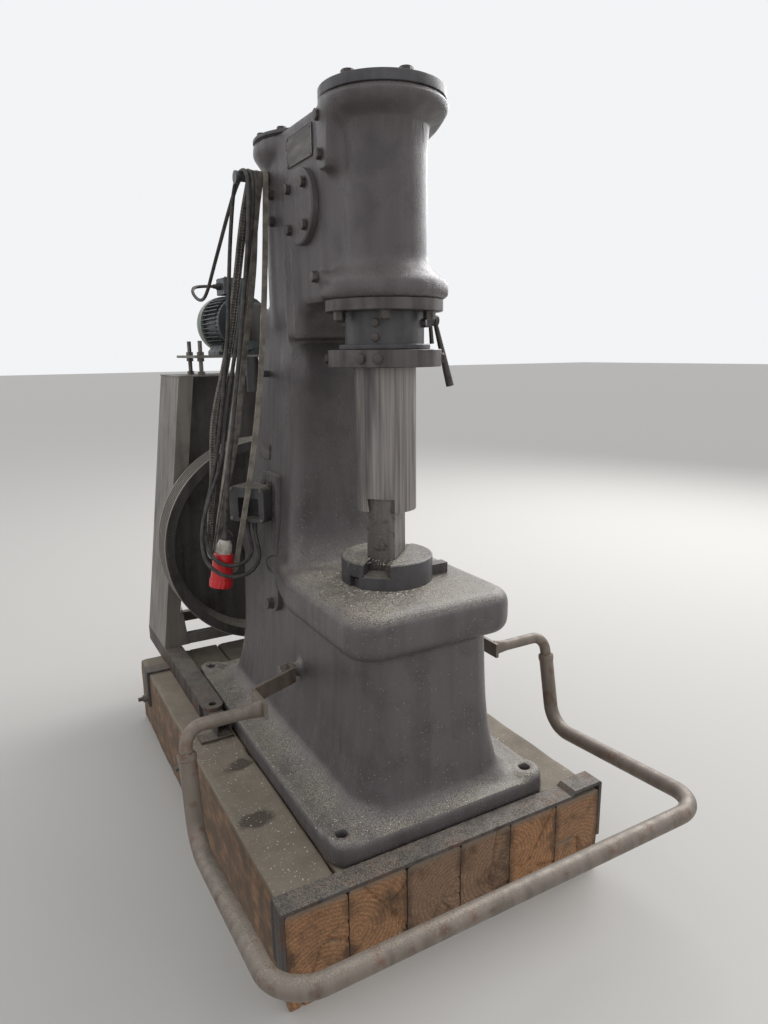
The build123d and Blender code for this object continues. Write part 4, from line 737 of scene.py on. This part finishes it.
# %% weld beads on the treadle
def bead_ring(centre, axis, radius, bead, ripples=0):
    """Torus: the bead's radius is its size times one plus 0.18 of a sine that runs round the ring."""
    around, across = np.meshgrid(full_turn(96), full_turn(10), indexing="ij")
    size = bead * (1 + 0.18 * np.sin(ripples * around))
    out = radius + size * np.cos(across)
    local = np.stack([out * np.cos(around), out * np.sin(around), size * np.sin(across)], -1)
    return local @ turn_to(axis).T + np.asarray(centre)


arm_lean, arm_drop = -60, 298  # mm to the front and down, along the arm's end
welds = []
for side in left_right:
    for top, radius, bead in ((237, 18.5, 3.4), (222.5, 20.5, 2.9)):
        place = mm((side * 590, arm_lean * (300 - top) / arm_drop, top))
        welds.append(bead_ring(place, (0, arm_lean, -arm_drop), radius / 1000, bead / 1000, 22))
piece("treadle_welds", joined(welds, close_rows=True), weld_metal, body="treadle_body")

# %% [markdown]
# Each belt hangs from the hook in a long loop. A closed NURBS curve gives its line, the
# belt's section is carried along it, and in the two cogged belts the inner face dips
# every 9 mm, as their moulded notches do. The section is a V: 10 mm inside, 17 outside.

# %% belts
def closed_line(points):
    """The points that Blender gives along a closed NURBS curve with these control points."""
    curve, spline = nurbs_curve("line", points, resolution=24)
    spline.use_cyclic_u = True
    carrier = bpy.data.objects.new("line", curve)
    mesh = bpy.data.meshes.new_from_object(carrier)
    line = vectors(mesh)
    bpy.data.objects.remove(carrier)
    bpy.data.curves.remove(curve)
    bpy.data.meshes.remove(mesh)
    return line


belt_slope = math.tan(math.radians(7.2))
notch_pitch, belt_pitch = 9.0, 17.5  # in mm, along a belt and from belt to belt
belt_rise = np.array([belt_slope, 0, 1]) / math.hypot(1, belt_slope)
belt_side = np.array([1, 0, -belt_slope]) / math.hypot(1, belt_slope)
# The belt's section: how far out, how far to the side, and whether the point is on the notched face.
section = [(0, 5, 1), (0, 0, 1), (0, -5, 1), (8, -8.3, 0), (12, -7.8, 0), (12, 0, 0), (12, 7.8, 0), (8, 8.3, 0)]
section_depth, section_width, section_inner = np.array(section, float).T


def belt_points(order, front, rear, bottom, notch):
    """Section carried round the loop: outwards is the tangent turned by 90 degrees, and the inner face
    moves out by notch times a steep wave of the distance along the belt."""
    corners = [(12.5, 1), (8, 11.4), (-8, 11.4), (-12.5, 1), *front]
    corners += [(front[-1][0] + 14, bottom), (rear[0][0] - 14, bottom), *rear]
    line = closed_line([(a, b, 0) for a, b in corners])[:, :2]
    line = np.vstack([line, line[:1]])
    length = np.concatenate([[0], np.cumsum(np.linalg.norm(np.diff(line, axis=0), axis=1))])
    teeth = round(length[-1] / notch_pitch)
    walk = np.arange(teeth * 8) / (teeth * 8) * length[-1]
    path = np.stack([np.interp(walk, length, line[:, k]) for k in (0, 1)], 1)
    way = np.roll(path, -1, 0) - np.roll(path, 1, 0)
    way /= np.linalg.norm(way, axis=1, keepdims=True)
    outward = np.stack([way[:, 1], -way[:, 0]], 1)
    wave = np.clip(1.6 * np.sin(2 * np.pi * walk * teeth / length[-1]), -1, 1)
    out = section_depth + section_inner * (notch * (0.5 + 0.5 * wave))[:, None]
    flat = path[:, None, :] + out[..., None] * outward[:, None, :]
    strand = np.array([hook_x - order * belt_pitch, hook_y, hook_z])
    return mm(
        strand + flat[..., :1] * (0, 1, 0) + flat[..., 1:] * belt_rise + section_width[:, None] * belt_side
    )


# Each loop: front strand going down, rear strand coming up, lowest point and depth of the notch, with
# points in mm to the rear of the hook and above it.
belt_loops = [
    ([(-68, -290), (-92, -560), (-78, -740), (-46, -920), (4, -1100)],
     [(215, -1090), (160, -860), (100, -560), (62, -260)], -1185, 0.0),
    ([(4, -240), (48, -520), (80, -790), (148, -1000), (176, -1090)],
     [(245, -1040), (222, -900), (236, -790), (232, -690), (150, -500), (110, -300), (82, -110)], -1160, 3.5),
    ([(-76, -240), (-32, -500), (-12, -760), (50, -895), (97, -1070)],
     [(205, -1050), (192, -900), (226, -790), (224, -690), (125, -510), (80, -300), (58, -105)], -1150, 3.5),
]
for order, loop in enumerate(belt_loops):
    surface = joined([belt_points(order, *loop)], close_rows=True)
    finish = belt_rubber if loop[3] else pale_belt_rubber
    belt = piece(f"drive_belt_{order + 1}", surface, finish, replaces=["drive_belts"])
    print(belt.name, "points:", len(belt.data.vertices))

# %% [markdown]
# A twist of wire ties the strands together low down. On the column sits a small bare
# plate; its outline is a superellipse, between a rectangle and an ellipse, and layers of
# that outline, each with its own size and height, give the plate a raised border.

# %% wire tie round the strands
tie_turn, tie_part = np.meshgrid(full_turn(64), full_turn(8), indexing="ij")
wire = 1.6  # radius of the wire in mm
tie_y = 606 + (58 + wire * np.cos(tie_part)) * np.sin(tie_turn)
tie_x = -276 + (17 + wire * np.cos(tie_part)) * np.cos(tie_turn)
tie_z = 632 + wire * np.sin(tie_part) + 3 * np.sin(2 * tie_turn)
tie = joined([mm(np.stack([tie_x, tie_y, tie_z], -1))], close_rows=True)
piece("belt_wire_tie", tie, dark_bolt_steel)

# %% bare plate on the column
def squared(wave):
    """The fifth root of a sine or cosine, with its sign: it stays near 1 and turns the corners fast."""
    return np.sign(wave) * np.abs(wave) ** 0.2


outline_y, outline_z = 45 * squared(np.cos(full_turn(64))), 25 * squared(np.sin(full_turn(64)))
layers = np.array([(0, -2), (1, -2), (1, 3.0), (0.97, 4.0), (0.86, 4.0), (0.84, 3.2), (0, 3.2)])
lean = math.radians(4.1)
plate_up = np.array([math.sin(lean), 0, math.cos(lean)])
plate_out = np.array([-math.cos(lean), 0, math.sin(lean)])
outline = outline_y[:, None] * (0, 1, 0) + outline_z[:, None] * plate_up
plate = (-154.4, 515, 908) + layers[:, :1, None] * outline + layers[:, 1:, None] * plate_out
piece("blank_column_plate", joined([mm(plate)]), dark_plate)

# %% [markdown]
# The plug hangs under the loops of the two cables. It is a turned shape in three parts:
# a pale ribbed cap that grips the cable, the red body, and a wider locking ring round
# the open mouth with its pins. The taper above the cap keeps the cable from kinking.

# %% plug
plug_top = mm((-330, 430, 656))
plug_way = np.array([-9.0, 0.0, -60.0]) / math.hypot(9, 60)
rib_depth = 0.0016


def plug_part(name, profile, finish, slot="red_plug", ribs=0, rows=slice(0), replaces=()):
    """A turned part whose profile is in mm, measured down from the top of the cap. Its ribbed rows move
    towards the axis by a raised cosine round it."""
    points = turned(np.array(profile) / 1000, 96, plug_top, plug_way)
    spoke = points - points.mean(1, keepdims=True)
    spoke /= np.linalg.norm(spoke, axis=2, keepdims=True) + 1e-9
    inward = rib_depth * (0.5 - 0.5 * np.cos(ribs * full_turn(96)))
    points[rows] -= inward[:, None] * spoke[rows]
    return piece(name, joined([points]), finish, replaces=replaces)


relief_profile = [(0, -30), (7.2, -30), (7.4, -28), (12, -2), (12, 2), (0, 2)]
plug_relief = plug_part("plug_strain_relief", relief_profile, dusty_rubber, "black_rubber")
cap_profile = [(0, 0), (14, 0), (18, 3), (20, 10), (22, 12), (23.5, 16), (23.8, 40), (22, 44), (0, 45)]
plug_cap = plug_part("plug_cap", cap_profile, pale_nylon, ribs=24, rows=slice(4, 7))
body_profile = [
    (0, 43), (26, 43), (30, 46), (31.5, 60), (32.8, 108), (33, 122), (34.5, 122), (35.8, 124), (35.8, 146),
    (34.5, 147.6), (31, 147.6), (30, 146), (29.5, 126), (0, 126),
]
plug_body = plug_part(
    "plug_body", body_profile, red_nylon, ribs=16, rows=slice(7, 9), replaces=["supply_plug"]
)
side_way, other_way = turn_to(plug_way)[:, 0], turn_to(plug_way)[:, 1]
pin_profile = np.array([(0, 0.125), (0.0026, 0.125), (0.0026, 0.143), (0.0018, 0.145), (0, 0.145)])
pin_ways = [math.cos(turn) * side_way + math.sin(turn) * other_way for turn in full_turn(5)]
pins = [turned(pin_profile, 16, plug_top + 0.018 * way, plug_way) for way in pin_ways]
plug_pins = piece("plug_pins", joined(pins), brushed_aluminium)

# %% glands where the cables enter the box
gland_profile = np.array([(0, 0), (-9.2, 0), (-9.2, 8), (8.6, 9), (8.4, 14), (6.8, 30), (6.3, 32), (0, 32)])
entries = (lead_points[-1], supply_points[0])
glands = [turned(gland_profile / 1000, 36, place, down, flats=6) for place in entries]
piece("box_cable_glands", joined(glands), dusty_rubber)

# %% [markdown]
# Sawn beams are never true: their faces wander by a millimetre or two, their edges are
# bruised, and their ends have opened in cracks that run out from the pith. Each beam is
# a rounded rectangle carried along its length, with rings that close the ends. Smooth
# noise moves the points inwards only, so that the beam stays inside its CAD solid.

# %% smooth noise
def cloud(points, size, seed):
    """Values from 0 to 1 at points in metres: random numbers on a lattice of the given size, blended
    along each axis by 3t squared less 2t cubed."""
    lattice = np.random.default_rng(seed).random((64, 64, 64))
    place = np.asarray(points) / np.asarray(size) + 1000
    cell = np.floor(place).astype(int)
    part = place - cell
    part = part * part * (3 - 2 * part)
    total = 0
    for corner in range(8):
        step = np.array([corner & 1, corner >> 1 & 1, corner >> 2])
        weight = np.prod(np.where(step == 1, part, 1 - part), axis=-1)
        index = (cell + step) % 64
        total = total + weight * lattice[index[..., 0], index[..., 1], index[..., 2]]
    return total


# %% timbers
half_beam, beam_corner, beam_middle = np.array([0.0788, 0.1278]), 0.008, 0.128
beam_front, beam_rear = -0.388, 1.190


def beam_points(index, around=128, along=70, cap=10):
    """Rounded rectangle, of 158 by 256 mm, carried along Y. The caps shrink it to a point, and a crack
    pushes their points in by a bell curve of the distance from its line."""
    share = np.linspace(0, 4, around, endpoint=False)
    u, v = [np.interp(share, range(5), ends) for ends in ([-1, 1, 1, -1, -1], [-1, -1, 1, 1, -1])]
    profile = np.stack([u, v], 1) * half_beam
    inner = np.clip(profile, -(half_beam - beam_corner), half_beam - beam_corner)
    reach = np.linalg.norm(profile - inner, axis=1, keepdims=True)
    profile = inner + (profile - inner) * np.minimum(1, beam_corner / np.maximum(reach, 1e-9))
    closing = np.linspace(0, 1, cap, endpoint=False)
    scale = np.concatenate([closing, np.ones(along), np.linspace(1, 0, cap + 1)[1:]])
    length = np.linspace(beam_front, beam_rear, along)
    shape = profile[None] * scale[:, None, None]
    points = np.empty(shape.shape[:2] + (3,))
    points[..., 0] = shape[..., 0] + timber_left + index * timber_pitch + timber_side / 2
    points[..., 1] = np.pad(length, cap, mode="edge")[:, None]
    points[..., 2] = shape[..., 1] + beam_middle
    wander = 0.0016 * cloud(points, (0.05, 0.30, 0.05), 5 + index)
    bruise = 0.006 * np.clip(cloud(points, (0.03, 0.05, 0.03), 15 + index) - 0.45, 0, 1)
    near_edge = np.prod(np.clip((np.abs(profile) / half_beam - 0.75) / 0.25, 0, 1), axis=1)[None]
    outward = profile / np.linalg.norm(profile, axis=1, keepdims=True)
    pull = (wander + bruise * near_edge * 2) * (scale[:, None] > 0.99)
    points[..., 0] -= pull * outward[None, :, 0]
    points[..., 2] -= pull * outward[None, :, 1]
    luck = np.random.default_rng(40 + index)
    pith = np.array([luck.uniform(-0.03, 0.03), luck.uniform(-0.06, 0.06)])
    inward = np.zeros(shape.shape[:2])
    spot = shape - pith
    for turn in luck.uniform(0, 2 * np.pi, 4):
        line = np.array([math.cos(turn), math.sin(turn)])
        beside = np.abs(spot[..., 0] * line[1] - spot[..., 1] * line[0])
        ahead = np.clip((spot @ line) / 0.02, 0, 1)
        inward += 0.007 * ahead * np.exp(-((beside / 0.0035) ** 2))
    inward += 0.0025 * cloud(points, (0.02, 1, 0.02), 25 + index)
    row = np.arange(len(scale))
    points[..., 1] += inward * ((row <= cap) * 1 - (row >= cap + along - 1) * 1)[:, None]
    return points


beam_surfaces = joined([beam_points(index) for index in range(6)])
timbers = piece("sawn_timbers", beam_surfaces, old_softwood, replaces=["bed_timbers"])
print("timber points:", len(timbers.data.vertices))

# %% [markdown]
# Hot iron sheds scale, and it gathers in crumbs round the anvil and on the wood. A crumb
# is an octahedron whose six points are pushed about by chance, flattened and turned.
# There are thousands, so each has only eight faces, and all of them are one mesh. On
# the foot they lie at points of the casting's skin that face up.

# %% crumbs of forge scale
def crumbs(name, centres, sizes, seed):
    """Six points on the axes, each times a random number, times the crumb's size, turned about Z."""
    luck = np.random.default_rng(seed)
    count = len(centres)
    corners = np.array([(1, 0, 0), (0, 1, 0), (-1, 0, 0), (0, -1, 0), (0, 0, 1), (0, 0, -1)], float)
    faces = np.array([(0, 1, 4), (1, 2, 4), (2, 3, 4), (3, 0, 4), (1, 0, 5), (2, 1, 5), (3, 2, 5), (0, 3, 5)])
    shape = corners[None] * luck.uniform(0.5, 1.3, (count, 6, 1)) * np.array([1, 0.8, 0.45])
    turn = luck.uniform(0, 2 * np.pi, count)
    cos, sin = np.cos(turn)[:, None], np.sin(turn)[:, None]
    x, y = shape[..., 0] * cos - shape[..., 1] * sin, shape[..., 0] * sin + shape[..., 1] * cos
    points = centres[:, None] + np.stack([x, y, shape[..., 2]], -1) * sizes[:, None, None]
    faces = (faces[None] + (np.arange(count) * 6)[:, None, None]).reshape(-1, 3)
    return piece(name, (points, faces), forge_scale_crumbs, smooth=False)


def scattered(count, x_range, y_range, height):
    """Random places in a level rectangle, in mm above the bed."""
    return np.stack([luck.uniform(*x_range, count), luck.uniform(*y_range, count), np.full(count, height)], 1)


# %% where the crumbs lie: on the table, the die holder, the timbers and the foot
table_top, holder_top, wood_top = 600.3, 669.8, -0.6  # mm above the bed, with the wood's wear
luck = np.random.default_rng(7)
turn, away = luck.uniform(0, 2 * np.pi, 900), 129 + np.abs(luck.normal(0, 26, 900))
near_dies = np.stack([away * np.cos(turn), away * np.sin(turn), np.full(900, table_top)], 1)
off_wedge = np.abs(near_dies[:, 1] + 36) > 22
near_dies = near_dies[(np.abs(near_dies[:, 0]) < 200) & (near_dies[:, 1] < 150) & off_wedge]
on_table = scattered(500, (-202, 202), (-240, 140), table_top)
on_table = on_table[(np.hypot(*on_table[:, :2].T) > 132) & (np.abs(on_table[:, 1] + 36) > 24)]
on_holder = scattered(500, (-110, 110), (-110, 110), holder_top)
across_slot = np.abs(on_holder[:, 0] + on_holder[:, 1]) * math.sin(math.radians(45))
on_holder = on_holder[(np.hypot(*on_holder[:, :2].T) < 118) & (across_slot > 62)]
on_left = scattered(500, (-482, -342), (-320, 500), wood_top)
on_right = scattered(300, (342, 458), (-320, 500), wood_top)
skin_spots, skin_up = vectors(casting.data), vectors(casting.data, "normal")[:, 2]
foot_spots = skin_spots[(skin_up > 0.75) & (skin_spots[:, 2] < bed + 0.14)]
on_foot = foot_spots[luck.integers(0, len(foot_spots), 1600)] * 1000 - np.array([0, 0, bed * 1000 - 0.1])
on_foot[:, :2] += luck.uniform(-4, 4, (1600, 2))
crumb_places = mm(np.concatenate([near_dies, on_table, on_holder, on_left, on_right, on_foot]))
crumb_sizes = 0.001 + 0.0024 * luck.random(len(crumb_places)) ** 3
crumbs("forge_scale_crumbs", crumb_places, crumb_sizes, 8)
print("crumbs:", len(crumb_places))

# %% [markdown]
# The motor's pulley and fan cowl are turned shapes. The CAD pulley is a plain drum, so a
# new piece with five grooves takes its place. The cowl gets rings over its air slots.

# %% pulley grooves and cowl rings
pulley_profile = [(0, 984), (62, 984), (66, 986), (66, 990)]
for middle in range(1000, 1100, 20):
    pulley_profile += [(69.5, middle - 8.5), (69.5, middle - 8), (58, middle - 4), (58, middle + 4)]
    pulley_profile += [(69.5, middle + 8)]
pulley_profile += [(69.5, 1094), (62, 1096), (30, 1096), (24, 1098), (14, 1098), (14, 1132), (0, 1132)]
pulley = joined([turned(np.array(pulley_profile) / 1000, 96, mm((0, 0, motor_axis)), to_rear)])
piece("grooved_motor_pulley", pulley, wheel_iron, replaces=["motor_pulley"])
cowl_rear = mm((0, 1399.4, motor_axis))
air_rings = [bead_ring(cowl_rear, to_rear, radius / 1000, 0.0016) for radius in range(24, 92, 11)]
piece("cowl_air_rings", joined(air_rings, close_rows=True), motor_enamel)

# %% [markdown]
# The studio is plain: a pale floor, a pale sky all round and one large soft lamp where
# the daylight comes from in the photograph, the right and behind. Nothing else lights
# the hammer, so a colour renders about as it is written.

# %% floor and light
world = bpy.data.worlds.new("studio")
scene.world = world
world.use_nodes = True
world.node_tree.nodes["Background"].inputs["Color"].default_value = (0.97, 0.98, 1.0, 1)
world.node_tree.nodes["Background"].inputs["Strength"].default_value = 0.92
scene.view_settings.view_transform = "Standard"
floor_mesh = bpy.data.meshes.new("floor")
floor_mesh.from_pydata([(-60, -60, 0), (60, -60, 0), (60, 60, 0), (-60, 60, 0)], [], [(0, 1, 2, 3)])
floor = put("floor", floor_mesh)
# Power-floated concrete, pale and matt, so that the shadow reads and nothing mirrors.
pale_concrete = bpy.data.materials.new("pale_concrete")
pale_concrete.use_nodes = True
dress(pale_concrete, Base_Color="#b9b7b3", Roughness=0.9)
floor_mesh.materials.append(pale_concrete)
light_data = bpy.data.lights.new("soft_daylight", "AREA")
light_data.size, light_data.energy = 5.0, 330
light = put("soft_daylight", light_data)
light.location = (4.6, 2.0, 4.6)
light.rotation_euler = (Vector((0, 0.3, 0.9)) - light.location).to_track_quat("-Z", "Y").to_euler()

# %% the end
bpy.context.view_layer.update()
